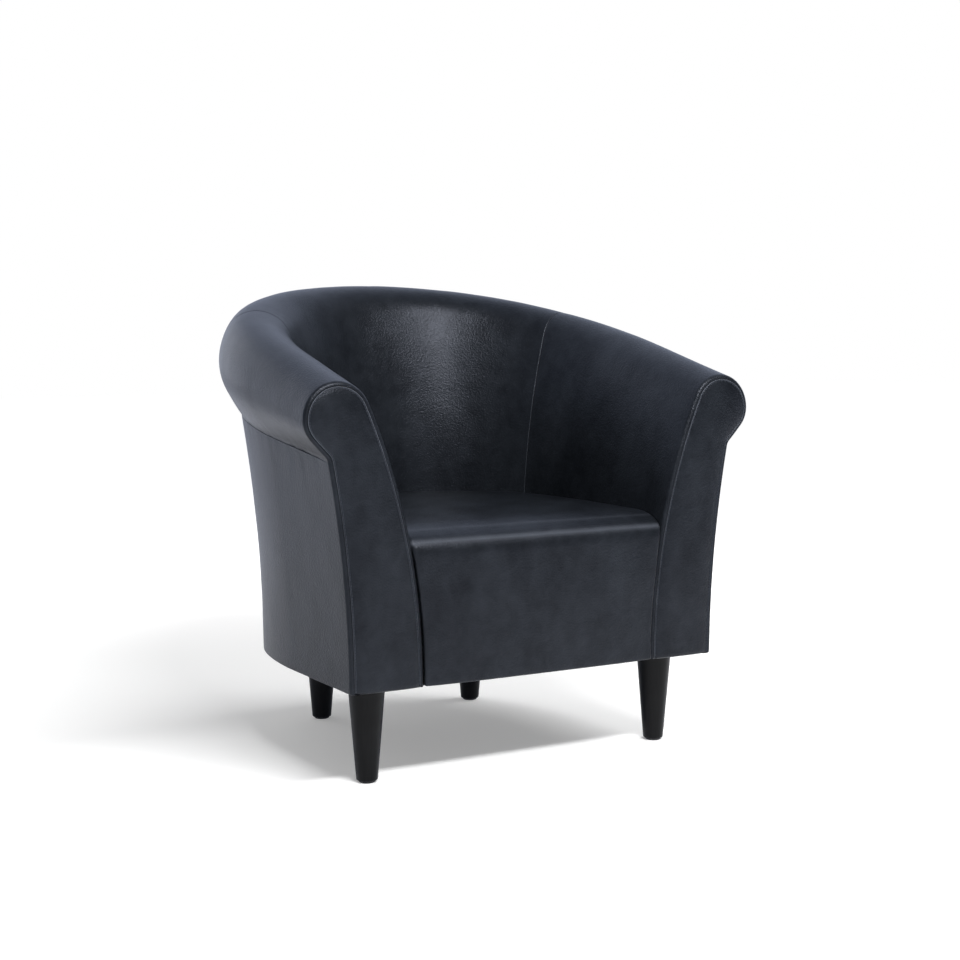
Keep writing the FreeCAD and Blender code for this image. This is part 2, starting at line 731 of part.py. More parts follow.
def build():
    parts = {}

    def pair(name, right):
        parts[name + "_right"] = right
        parts[name + "_left"] = mirrored(right)

    layers = wall_layers()
    for name in ("cover", "roll_foam", "inside_foam", "outside_cover", "outer_board", "inner_board"):
        pair("arm_" + name, layers["arm_" + name])
        parts["back_" + name] = layers["back_" + name]
    pair("facing_cover", facing_cover())
    pair("facing_pad", facing_pad())
    pair("arm_panel", arm_panel())

    room = wall_room()
    parts["seat_cover"], parts["seat_foam"], parts["front_pad"] = seat_pieces(room)
    parts["deck_cloth"] = deck_cloth(room)

    arm_rail = arm_stations(PANEL_BACK + GAP, PANEL_SEAM - GAP / 2)
    back_rail = back_stations(PANEL_SEAM + GAP / 2)
    pair("arm_top_rail", top_rail(arm_rail))
    parts["back_top_rail"] = top_rail(back_rail)
    rail_room = [
        top_rail(arm_stations(PANEL_BACK, PANEL_SEAM + PLY), EASE),
        side_rail(GAP),
    ]
    back_rail_room = [top_rail(back_stations(PANEL_SEAM - PLY), EASE), seat_room()]
    pair("arm_rib", rib(ARM_RIB_AT, rail_room))
    pair("corner_rib", rib(PANEL_SEAM, rail_room))
    pair("back_rib", rib(BACK_RIB_AT, back_rail_room))
    pair("side_rail", side_rail())
    parts["front_rail"] = front_rail()
    parts["rear_rail"] = rear_rail()

    right_places = leg_places()
    places = []
    for row, (x, y) in right_places.items():
        pair("leg_" + row, leg(x, y))
        places += [(x, y), (-x, y)]
    side_base = base_arm().cut(nut_hole(*right_places["front"]))
    pair("base_side", side_base)
    round_base = base_back()
    for x, y in places:
        round_base = round_base.cut(nut_hole(x, y))
    parts["base_back"] = round_base
    parts["hanger_bolts"] = Part.makeCompound([hanger_bolt(x, y) for x, y in places])
    parts["t_nuts"] = Part.makeCompound([t_nut(x, y) for x, y in places])
    parts["foot_glides"] = Part.makeCompound([foot_glide(x, y) for x, y in places])
    parts["dust_cover"] = dust_cover(places)

    springs = [spring(x) for x in spring_places()]
    clips = [spring_clip(x, y) for x in spring_places() for y in spring_ends()]
    parts["seat_springs"] = Part.makeCompound(springs)
    parts["spring_clips"] = Part.makeCompound(clips)
    return parts


def main():
    os.makedirs("parts", exist_ok=True)
    for name, shape in build().items():
        shape.exportStep(os.path.join("parts", name + ".step"))


if __name__ == "__main__":
    main()
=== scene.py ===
import math

import bmesh
import bpy
import numpy as np
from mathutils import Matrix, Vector, noise


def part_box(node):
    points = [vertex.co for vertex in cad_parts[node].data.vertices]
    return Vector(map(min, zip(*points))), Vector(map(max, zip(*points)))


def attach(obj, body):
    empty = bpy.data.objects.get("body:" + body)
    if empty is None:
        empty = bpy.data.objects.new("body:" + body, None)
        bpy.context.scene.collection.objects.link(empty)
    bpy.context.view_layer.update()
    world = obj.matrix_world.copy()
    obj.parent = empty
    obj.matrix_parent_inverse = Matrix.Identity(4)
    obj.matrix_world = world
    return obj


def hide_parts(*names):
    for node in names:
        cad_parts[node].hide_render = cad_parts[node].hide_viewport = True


# The looks of a club chair: leather-look covers over a rolled tub back, scrolled arms and a tight seat,
# on black turned legs. Sizes are in millimetres. Points of the body are (across, behind the front plane,
# over the underside), and distances along the wall follow its bottom edge from the front plane.

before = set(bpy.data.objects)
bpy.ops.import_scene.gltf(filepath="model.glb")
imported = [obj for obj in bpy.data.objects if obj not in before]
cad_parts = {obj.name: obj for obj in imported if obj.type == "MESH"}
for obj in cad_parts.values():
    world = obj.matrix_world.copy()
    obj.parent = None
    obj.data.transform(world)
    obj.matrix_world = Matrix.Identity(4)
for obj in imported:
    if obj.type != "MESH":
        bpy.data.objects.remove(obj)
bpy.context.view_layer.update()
MM = 0.001
SIDES = (("right", 1.0), ("left", -1.0))

# Plan of the body along its bottom edge
BODY_HALF_WIDTH = 329.5
BODY_DEPTH = 602.0
SIDE_STRAIGHT = 209.5
SIDE_RADIUS = 650.0
PANEL_SEAM = 415.0

# Cross-section of the arm at the front plane
ARM_HEIGHT = 458.5
ARM_ROLL_RISE = 54.5
ARM_NECK_DROP = 62.0
ARM_FLARE = 31.5
ARM_ROLL_REACH = 39.0
ARM_CREST_IN = 54.5
ARM_UNDER_SLOPE = 45.0
ARM_INNER_RADIUS = 54.5
ARM_LEAN = 24.0
ARM_FOOT = 122.0

# Cross-section of the back at its middle
BACK_HEIGHT = 612.0
BACK_ROLL_RISE = 92.5
BACK_NECK_DROP = 104.0
BACK_FLARE = 32.5
BACK_ROLL_REACH = 33.5
BACK_CREST_IN = 65.0
BACK_UNDER_SLOPE = 66.0
BACK_INNER_RADIUS = 64.0
BACK_LEAN = 14.0
BACK_FOOT = 126.0

# How the arm's section turns into the back's along the wall
SHAPE_POWER = 1.48
RISE_POWER = 1.56
RISE_SWAY = 0.026
NECK_RADIUS = 15.0

# Covers and padding
COVER = 1.5
PADDED = 21.5  # cover and padding together
PANEL_BACK = 28.9  # the arm's padding starts behind its plywood panel
PANEL_GAP = 0.2  # half the gap in the panel seam
ON_BOARD = 0.8  # most that an outside cover is drawn in, so that its board stays covered
SEAM_ROUND = 2.0  # how a cover's edge rolls into a seam
SEAM_PULL = 0.5  # how far a seam draws the padding in
SEAM_REACH = 22.0
SEAM_DEPTH = 9.0
THIN_PULL = 0.35  # share of that on a cover without padding
HEM_RADIUS = 4.0
HEM_UNDER = 6.0
FRONT_ROLL = 5.4  # radius of the cover over the front edge of the arm
FACING_SEAM = 6.1  # seam of the facing, inside the edge
FACING_RIDGE = 7.0  # crest of the ridge beside the seam
RIDGE_HALF_WIDTH = 0.6
STITCH_LINE = 9.0  # row of stitches, inside the edge
FACING_BULGE = 3.0
FACING_BACK = 9.2
SETTLE = 40.0  # length over which unevenness sets in from an edge

# Crease under the roll
NECK_TUCK = 2.5  # how deep the covers go into it
NECK_ROUND = 0.15
NECK_GAP = 0.06
NECK_SINK = 0.5  # how far the cover sinks towards it, wide and close by
NECK_SINK_REACH = 24.0
NECK_CREASE = 0.4
NECK_CREASE_REACH = 6.0
PUCKER = 0.7  # puckers along it, in long and short waves
PUCKER_REACH = 18.0
PUCKER_LONG = 17.0
PUCKER_SHORT = 7.5

# Unevenness of hand-laid padding, in long and short waves
LUMP = 0.75
LUMP_LONG = 105.0
DIMPLE = 0.28
DIMPLE_LONG = 36.0
OUTSIDE_SOFT = 0.7  # share of it on the outside covers

# Painted highlights: a pale grey mixed into the leather's colour along edges that catch the light, as a
# share, and where
SEAM_HIGHLIGHT = 0.06
SEAM_HIGHLIGHT_AT = 1.4
SEAM_HIGHLIGHT_WIDE = 0.6
RIM_HIGHLIGHT = 0.16
SCROLL_HIGHLIGHT = 0.24  # added round the scroll
SCROLL_FROM = 250.0
SCROLL_LONG = 150.0
FRONT_HIGHLIGHT = 0.14
FRONT_HIGHLIGHT_UP = 219.0
BAND_HIGHLIGHT = 0.04
BAND_HIGHLIGHT_BEHIND = 28.5
SEAT_HIGHLIGHT_WIDE = 3.5

# Seat
SEAT_HEIGHT = 243.0
SEAT_PROUD = 5.0
SEAT_FRONT_ROUND = 3.0  # how the seat rounds into the arms, low at the front
SEAT_CORNER_ROUND = 7.0  # and at the top of the front
SEAT_SIDE_ROUND = 10.0  # and along the top
CORNER_FROM = 140.0  # height where the front's round starts to grow
CORNER_LONG = 70.0
SEAT_HALF_WIDTH = 232.0  # about half the room between the arms
SEAT_GAP = 0.35
SEAT_HEM = 4.5
SEAT_EDGE = 240.8  # height of the top where its flat starts
SEAT_CROWN = 3.4  # rise of the flat
SEAT_CROWN_LONG = 360.0
SIDE_SINK = 1.3  # how far the cover sinks towards the arms
SIDE_SINK_REACH = 26.0
FRONT_EDGE = 184.0  # length up the front where it starts to turn
FRONT_EDGE_LONG = 50.0
FRONT_TURN = 66.0  # degrees
BAND_EDGE = 232.0  # where the band behind that edge turns into the flat
BAND_EDGE_LONG = 40.0
BAND_TURN = 20.0
SEAT_TUCK = 26.0
TUCK_RISE = 60.0  # height over which the tuck beside the front grows
SOFT_RISE = 30.0  # and the unevenness
SEAT_INNER = 0.99  # width of the seat's inner side, as a share
SEAT_INNER_BACK = 0.995  # and its length
SIDE_ROUND_ROWS = 8.0  # rows over which the round at the sides grows
TUCK_DEPTH = 66.0
DECK_HEIGHT = 157.5
RAIL_FRONT = 11.8
TOP_START = 64.0  # where the flat of the seat starts, behind the front plane
TOP_CORNER = 0.80  # share of the wall's length at the rear corners of the seat

# Cloth simulation of the padded covers
CLOTH_STEP = 9.0  # spacing of the simulated points
CLOTH_FRAMES = 20
CLOTH_STIFF = 40.0
CLOTH_SHEAR = 15.0
CLOTH_BEND = 6.0
ARM_PRESSURE = 2.0  # of the filling against the covers of the arms
BACK_PRESSURE = 1.2  # against the cover of the back
SEAT_PRESSURE = 0.3  # and against the cover of the seat
SWELL_CAP = 3.0  # most that a point may move
SWELL_ROOM = 0.6  # how much smaller a padded cover starts
BACK_SWELL = 7.0  # how far the filling of the back stands out
ARM_SWELL = 2.0
SWELL_FROM = 300.0  # length along the wall where the back's filling starts to show
SWELL_BELOW = 15.0  # below the crest
SMOOTH_PASSES = 5
SEAM_HOLD = 5.0  # width beside a sewn edge that doesn't move

# Stitches and staples
STITCH_PITCH = 4.6
STITCH_LENGTH = 3.7
THREAD_RADIUS = 0.42
STAPLE_PITCH = 38.0
STAPLE_WIDTH = 10.0
STAPLE_WIRE = 0.45
STAPLE_IN = 9.0  # inside the edge of the cloth
STAPLE_FROM = 20.0

# Cloth under the base
DUST_IN = 10.0
DUST_FRONT = 12.0
DUST_SAG = 7.0
DUST_SAG_REACH = 45.0
DUST_RIPPLE = 0.25
BASE_WIDTH = 120.0
CLOTH = 0.8

# Points of the meshes: counts, and distances from an edge
ROLL_STEPS = (5, 5, 6, 6, 12, 44, 16)  # on each arc after the neck, over the roll and down the inside
OUTSIDE_STEPS = 44
FACING_STEPS = (3, 3, 3, 4, 4, 11)  # on each arc round the scroll
NEAR_NECK = (0.03, 0.07, 0.15, 0.3, 0.5, 0.75)
BELOW_NECK = (4.0, 2.2, 1.2, 0.7, 0.4, NECK_GAP)
NEAR_SEAM = (0.0, 0.35, 0.9, 1.6, 2.4, 3.3, 4.6, 6.5, 9.0, 12.0, 16.0, 21.0)
NEAR_ARM = (0.0, 0.6, 1.6, 3.2, 5.4, 8.2, 11.6, 15.6, 20.5, 27.0, 35.0, 44.0)
NEAR_BACK = (0.0, 0.002, 0.005, 0.010, 0.017, 0.026, 0.038, 0.053, 0.072)  # shares of the seat's length
SEAM_ZONE = 24.0  # beside the panel seam, where rows lie closer together
ARM_STEPS = 52  # rows of an arm before that
ROW_STEP = 7.0
FRONT_STEP = 8.0  # up the front of the seat
EDGE_STEP = 3.5  # round its edges

# Studio, in metres and watts
FLOOR_REACH = 14.0
FLOOR_GLOW_NEAR = 0.25
FLOOR_GLOW_FAR = 0.70
GLOW_FROM = 0.7  # away from the middle, where the glow starts to change
GLOW_TO = 2.4
MIRRORED_FLOOR = "#a9b6d8"
MIRRORED_SHADE = "#d9e4ff"
ROOM_LIGHT = 0.35
ROOM_IN_FRONT = 0.22
CAMERA_PLACE = (-1.369, -2.503, 0.688)
CAMERA_WAY = (0.499, 0.8619, -0.0905)
CAMERA_LENS = 62.7  # in mm, on a sensor 36 mm wide

# Sizes that follow from the ones above and from the frame
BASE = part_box("base_back")[0].z / MM - 1.1  # underside of the body, just below the base board
FRONT = -331.0  # front plane of the body
TUCK = SEAT_HEIGHT - TUCK_DEPTH
SIDE_CENTRE = BODY_HALF_WIDTH - SIDE_RADIUS
CURVED_DEPTH = BODY_DEPTH - SIDE_STRAIGHT
BACK_RADIUS = (SIDE_CENTRE**2 + CURVED_DEPTH**2 - SIDE_RADIUS**2) / (2 * (CURVED_DEPTH - SIDE_RADIUS))
BACK_CENTRE = BODY_DEPTH - BACK_RADIUS
SIDE_TURN = math.atan2(BACK_CENTRE - SIDE_STRAIGHT, -SIDE_CENTRE)
SIDE_ARC = SIDE_RADIUS * SIDE_TURN
WALL_LENGTH = SIDE_STRAIGHT + SIDE_ARC + BACK_RADIUS * (math.pi / 2 - SIDE_TURN)


# The wall's form


def plan(distance, inside=0.0):
    """Place and outward direction on the right half of the wall's plan."""
    if distance <= SIDE_STRAIGHT:
        return BODY_HALF_WIDTH - inside, distance, 1.0, 0.0
    if distance <= SIDE_STRAIGHT + SIDE_ARC:
        turn = (distance - SIDE_STRAIGHT) / SIDE_RADIUS
        middle_x, middle_y, radius = SIDE_CENTRE, SIDE_STRAIGHT, SIDE_RADIUS
    else:
        turn = SIDE_TURN + (distance - SIDE_STRAIGHT - SIDE_ARC) / BACK_RADIUS
        middle_x, middle_y, radius = 0.0, BACK_CENTRE, BACK_RADIUS
    out_x = math.cos(turn)
    out_y = math.sin(turn)
    return middle_x + (radius - inside) * out_x, middle_y + (radius - inside) * out_y, out_x, out_y


# Sections are runs of tangent arcs: first point (out, up), first and last heading, and a radius that is
# negative where the run turns right.


def along(arc, heading):
    out, up, first, last, radius = arc
    out += radius * (math.sin(heading) - math.sin(first))
    up += radius * (math.cos(first) - math.cos(heading))
    return out, up


def end(arc):
    return along(arc, arc[3])


def arc_to(start, first, target):
    """The arc that leaves start with a heading and ends at target."""
    step_out = target[0] - start[0]
    step_up = target[1] - start[1]
    turn = math.atan2(step_up, step_out) - first
    half_turn = math.atan2(math.sin(turn), math.cos(turn))
    radius = math.hypot(step_out, step_up) / (2 * math.sin(half_turn))
    return start[0], start[1], first, first + 2 * half_turn, radius


def two_arcs(start, first, target, last):
    """Two tangent arcs between two points with a heading at each."""
    begin = Vector(start)
    finish = Vector(target)
    leave = Vector((math.cos(first), math.sin(first)))
    arrive = Vector((math.cos(last), math.sin(last)))
    step = finish - begin
    both = step.dot(leave + arrive)
    apart = 2 * (1 - leave.dot(arrive))
    reach = (math.sqrt(both**2 + apart * step.dot(step)) - both) / apart
    join = (begin + finish + (leave - arrive) * reach) * 0.5
    one = arc_to(start, first, tuple(join))
    return [one, arc_to(tuple(join), one[3], target)]


def cut_at_height(arc, height):
    """The last heading of a falling arc that is cut at a height."""
    out, up, first, last, radius = arc
    return 2 * math.pi - math.acos(math.cos(first) - (height - up) / radius)


class Section:
    """Outline of the wall at a distance along it, from the bottom edge over the roll to the inside."""

    def __init__(self, distance):
        share = min(max(distance / WALL_LENGTH, 0.0), 1.0)
        shape = 1 - (1 - share) ** SHAPE_POWER
        rise = 1 - (1 - share) ** RISE_POWER - RISE_SWAY * math.sin(2 * math.pi * share)

        def size(arm, back):
            return arm + (back - arm) * shape

        top = ARM_HEIGHT + (BACK_HEIGHT - ARM_HEIGHT) * rise
        widest = top - size(ARM_ROLL_RISE, BACK_ROLL_RISE)
        neck = widest - size(ARM_NECK_DROP, BACK_NECK_DROP)
        flare = size(ARM_FLARE, BACK_FLARE)
        reach = flare + size(ARM_ROLL_REACH, BACK_ROLL_REACH)
        crest = (reach - size(ARM_CREST_IN, BACK_CREST_IN), top)
        under = math.radians(size(ARM_UNDER_SLOPE, BACK_UNDER_SLOPE))
        lean = math.radians(size(ARM_LEAN, BACK_LEAN))
        upright = math.pi / 2
        self.outside = arc_to((0.0, 0.0), upright, (flare, neck))
        fillet = (flare, neck, self.outside[3], under, -NECK_RADIUS)
        belly = two_arcs(end(fillet), under, (reach, widest), upright)
        shoulder = two_arcs((reach, widest), upright, crest, math.pi)
        inner_top = (*crest, math.pi, 1.5 * math.pi - lean, size(ARM_INNER_RADIUS, BACK_INNER_RADIUS))
        self.roll = [fillet, *belly, *shoulder, inner_top]
        self.inside = arc_to(end(inner_top), inner_top[3], (-size(ARM_FOOT, BACK_FOOT), 0.0))

    def tucked(self):
        out, up, first, last, radius = self.inside
        return out, up, first, cut_at_height(self.inside, TUCK), radius

    def lower(self, height):
        """The inside below the tuck, down to a height."""
        first = cut_at_height(self.inside, TUCK)
        return (*along(self.inside, first), first, cut_at_height(self.inside, height), self.inside[4])

    def inside_at(self, height):
        """How far out the inside of the wall is at a height."""
        return along(self.inside, cut_at_height(self.inside, height))[0]


def spread(first, last, steps):
    return [first + (last - first) * step / steps for step in range(steps + 1)]


def eased(first, last, steps, power):
    """Values that lie closer together near the first."""
    return [first + (last - first) * (step / steps) ** power for step in range(steps + 1)]


def sample_run(arcs, shares):
    """Points with outward directions, (out, up, direction out, direction up), at shares of each arc."""
    points = []
    for arc, cuts in zip(arcs, shares):
        first, last = arc[2], arc[3]
        for share in cuts:
            heading = first + (last - first) * share
            points.append((*along(arc, heading), math.sin(heading), -math.cos(heading)))
    return np.array(points)


def run_lengths(points):
    steps = np.hypot(np.diff(points[:, 0]), np.diff(points[:, 1]))
    return np.concatenate([[0.0], np.cumsum(steps)])


def even_shares(counts):
    """Even shares for a chain of arcs, each joint once."""
    chain = [spread(0.0, 1.0, count)[:-1] for count in counts]
    chain[-1].append(1.0)
    return chain


# How sewn edges and soft padding shape a cover


def share_of(value, first, length):
    """How far a value is along a stretch, from 0 to 1."""
    return min(max((value - first) / length, 0.0), 1.0)


def smooth(share):
    """A soft step from 0 to 1."""
    share = min(max(share, 0.0), 1.0)
    return share * share * (3.0 - 2.0 * share)


def rounded(distance, radius):
    """How far an edge has rolled in, at a distance from where it ends."""
    near = max(radius - distance, 0.0)
    return radius - math.sqrt(radius**2 - near**2)


def peak(value, middle, width):
    """A soft peak of 1 at the middle."""
    return math.exp(-(((value - middle) / width) ** 2))


def waves(point, size):
    """Soft unevenness between -1 and 1, in waves of about a size."""
    return noise.noise(Vector(point) / size)


def softness(point):
    """Unevenness of hand-laid padding, in mm."""
    return LUMP * waves(point, LUMP_LONG) + DIMPLE * waves(point, DIMPLE_LONG)


def seam_draw(distance):
    """How far a seam draws a padded cover in."""
    return rounded(distance, SEAM_ROUND) + SEAM_PULL * math.exp(-distance / SEAM_REACH)


def facing_highlight(across, up):
    """How much painted highlight lies on an edge of the facing: most round the scroll, uneven along it."""
    uneven = RIM_HIGHLIGHT * waves((across, 0.0, up), 40.0)
    return RIM_HIGHLIGHT + SCROLL_HIGHLIGHT * share_of(up, SCROLL_FROM, SCROLL_LONG) + uneven


def seam_steps(length):
    """Distances from a seam: close together at the seam, then even."""
    last = NEAR_SEAM[-1]
    count = max(int((length - last) / ROW_STEP), 1)
    return [*NEAR_SEAM, *spread(last, length, count)[1:]]


# Meshes


def in_metres(points):
    """Points of the body, in mm, as points of the row frame."""
    return (np.asarray(points, float) + (0.0, FRONT, BASE)) * MM


def placed(name, data):
    """A new object in the scene."""
    made = bpy.data.objects.new(name, data)
    bpy.context.scene.collection.objects.link(made)
    return made


def new_mesh(name, points, faces):
    mesh = bpy.data.meshes.new(name)
    mesh.from_pydata([tuple(point) for point in points], [], faces)
    return mesh


def add_mesh(name, points, faces, material, painted_highlight=None):
    """A smooth closed mesh piece from points of the body, with how much painted highlight it has at each
    point.
    """
    mesh = new_mesh(name, in_metres(points), faces)
    if painted_highlight is not None:
        mesh.attributes.new("painted_highlight", "FLOAT", "POINT").data.foreach_set("value", painted_highlight)
    shell = bmesh.new()
    shell.from_mesh(mesh)
    bmesh.ops.remove_doubles(shell, verts=shell.verts, dist=0.00001)
    bmesh.ops.recalc_face_normals(shell, faces=shell.faces)
    shell.to_mesh(mesh)
    shell.free()
    mesh.shade_smooth()
    mesh.materials.append(material)
    return placed(name, mesh)


def grid_faces(rows, columns):
    faces = []
    for row in range(rows - 1):
        for column in range(columns - 1):
            corner = row * columns + column
            faces.append((corner, corner + 1, corner + columns + 1, corner + columns))
    return faces


def closed_between(name, outer, inner, faces, material, painted_highlight=None):
    """A closed piece between two surfaces with the same faces; its open edges are joined by a rim."""
    count = len(outer)
    used = {}
    for face in faces:
        for start, stop in zip(face, face[1:] + face[:1]):
            used.setdefault(frozenset((start, stop)), []).append((start, stop))
    all_faces = list(faces)
    for face in faces:
        all_faces.append(tuple(count + corner for corner in reversed(face)))
    for uses in used.values():
        if len(uses) == 1:
            start, stop = uses[0]
            all_faces.append((stop, start, count + start, count + stop))
    if painted_highlight is not None:
        painted_highlight = np.concatenate([np.ravel(painted_highlight), np.zeros(count)])
    return add_mesh(name, np.concatenate([outer, inner]), all_faces, material, painted_highlight)


def closed_grid(name, outer, inner, material, row_highlight=None):
    rows, columns = outer.shape[:2]
    faces = grid_faces(rows, columns)
    painted_highlight = None if row_highlight is None else np.repeat(row_highlight, columns)
    return closed_between(name, outer.reshape(-1, 3), inner.reshape(-1, 3), faces, material, painted_highlight)


# Cloth simulation of padded covers


def spaced(lengths):
    """Places along a run that lie about a cloth step apart, with both ends."""
    chosen = [0]
    for place, length in enumerate(lengths):
        if length - lengths[chosen[-1]] >= CLOTH_STEP:
            chosen.append(place)
    chosen[-1] = len(lengths) - 1
    return chosen


def held(lengths):
    """How free a cover is along a run: not at all at its sewn ends."""
    from_end = np.minimum(lengths, lengths[-1] - lengths)
    return np.clip((from_end - SEAM_HOLD) / SEAM_REACH, 0.0, 1.0)


def cloth_result(points, faces, pinned, pressure):
    """Points of the body after a short simulation of a sheet that is pinned and pressed outwards."""
    mesh = new_mesh("cover_cloth", in_metres(points), faces)
    sheet = placed("cover_cloth", mesh)
    sheet.vertex_groups.new(name="sewn").add(pinned, 1.0, "REPLACE")
    cloth = sheet.modifiers.new("cloth", "CLOTH").settings
    cloth.quality = 6
    cloth.mass = 0.4
    cloth.tension_stiffness = CLOTH_STIFF
    cloth.compression_stiffness = CLOTH_STIFF
    cloth.shear_stiffness = CLOTH_SHEAR
    cloth.bending_stiffness = CLOTH_BEND
    cloth.shrink_min = 0.0
    cloth.use_pressure = True
    cloth.uniform_pressure_force = pressure
    cloth.effector_weights.gravity = 0.0
    cloth.vertex_group_mass = "sewn"
    for frame_number in range(1, CLOTH_FRAMES + 1):
        bpy.context.scene.frame_set(frame_number)
    done = sheet.evaluated_get(bpy.context.evaluated_depsgraph_get()).data
    places = np.empty(len(points) * 3)
    done.vertices.foreach_get("co", places)
    bpy.data.objects.remove(sheet)
    bpy.data.meshes.remove(mesh)
    bpy.context.scene.frame_set(1)
    return places.reshape(-1, 3) / MM - (0.0, FRONT, BASE)


def mean_lengths(points, axis):
    """Mean lengths along the rows or the columns of a grid of points."""
    steps = np.linalg.norm(np.diff(points, axis=axis), axis=2)
    return np.append(0.0, np.cumsum(steps.mean(axis=1 - axis)))


def weights(coarse, lengths):
    """How much each coarse place counts at each length."""
    return np.array([np.interp(lengths, coarse, place) for place in np.eye(len(coarse))])


def relaxed(outer, inner, pressure):
    """The rows of a padded cover after its cloth simulation on a coarser sheet."""
    row_lengths = mean_lengths(outer, 0)
    column_lengths = mean_lengths(outer, 1)
    rows = spaced(row_lengths)
    columns = spaced(column_lengths)
    coarse = outer[np.ix_(rows, columns)]
    count = len(columns)
    faces = grid_faces(len(rows), count)
    middle = coarse[len(rows) // 2, count // 2]
    beside = coarse[len(rows) // 2, count // 2 + 1] - middle
    behind = coarse[len(rows) // 2 + 1, count // 2] - middle
    outward = middle - inner[rows[len(rows) // 2], columns[count // 2]]
    if np.dot(np.cross(beside, behind), outward) < 0:
        faces = [tuple(reversed(face)) for face in faces]
    numbers = np.arange(len(rows) * count).reshape(len(rows), count)
    pinned = np.concatenate([numbers[0], numbers[-1], numbers[:, 0], numbers[:, -1]])
    moved = cloth_result(coarse.reshape(-1, 3), faces, [int(number) for number in pinned], pressure)
    move = moved.reshape(coarse.shape) - coarse
    size = np.linalg.norm(move, axis=2, keepdims=True)
    move *= SWELL_CAP / np.sqrt(SWELL_CAP**2 + size**2)
    for _ in range(SMOOTH_PASSES):
        move[1:-1] = (move[:-2] + 2.0 * move[1:-1] + move[2:]) / 4.0
        move[:, 1:-1] = (move[:, :-2] + 2.0 * move[:, 1:-1] + move[:, 2:]) / 4.0
    down = weights(row_lengths[rows], row_lengths)
    over = weights(column_lengths[columns], column_lengths)
    full = np.einsum("rd,co,rcx->dox", down, over, move, optimize=True)
    free = held(row_lengths)[:, None] * held(column_lengths)[None, :]
    return outer + full * free[:, :, None]


def mirrored(points):
    """The same points on the other side."""
    return np.asarray(points) * (-1.0, 1.0, 1.0)


def belongs(piece, slot, *nodes):
    """The piece rides on the chair and stands for CAD nodes, which it hides. The slot is not used."""
    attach(piece, "root")
    if nodes:
        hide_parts(*nodes)
    return piece


# Materials


def linear(code):
    """A linear colour from an sRGB hex value."""
    parts = [int(code[place : place + 2], 16) / 255 for place in (1, 3, 5)]
    return (*[part / 12.92 if part <= 0.04045 else ((part + 0.055) / 1.055) ** 2.4 for part in parts], 1.0)


def per_metre(size):
    """Texture scale for features of a size in mm."""
    return 1.0 / (size * MM)


def add(tree, kind, inputs=(), stops=(), **settings):
    """Adds a node. Inputs are (socket, a value or the socket or node that feeds it), and the stops of a ramp
    are (place, colour)."""
    node = tree.nodes.new(kind)
    for name, value in settings.items():
        setattr(node, name, value)
    for number, (place, colour) in enumerate(stops):
        node.color_ramp.elements[number].position = place
        node.color_ramp.elements[number].color = linear(colour)
    for socket, value in inputs:
        if isinstance(value, bpy.types.Node):
            value = next(output for output in value.outputs if output.enabled)
        if isinstance(value, bpy.types.NodeSocket):
            tree.links.new(value, node.inputs[socket])
        else:
            node.inputs[socket].default_value = value
    return node


def blank_material(name):
    """An empty material, its nodes and the places on the piece that wears it."""
    material = bpy.data.materials.new(name)
    material.use_nodes = True
    tree = material.node_tree
    tree.nodes.clear()
    return material, tree, add(tree, "ShaderNodeTexCoord").outputs["Object"]


def surfaced(material, inputs):
    """The material with its finished surface."""
    surface = add(material.node_tree, "ShaderNodeBsdfPrincipled", inputs)
    add(material.node_tree, "ShaderNodeOutputMaterial", [("Surface", surface)])
    return material


def grained(material, pattern, stops, roughness, strength, depth, shine=0.5):
    """The material with a pattern that shows in its colour and stands out by a depth in mm."""
    tree = material.node_tree
    colour = add(tree, "ShaderNodeValToRGB", [("Fac", pattern)], stops)
    relief = [("Height", pattern), ("Strength", strength), ("Distance", depth * MM)]
    bump = add(tree, "ShaderNodeBump", relief)
    looks = [("Base Color", colour), ("Roughness", roughness), ("Normal", bump)]
    return surfaced(material, [*looks, ("Specular IOR Level", shine)])


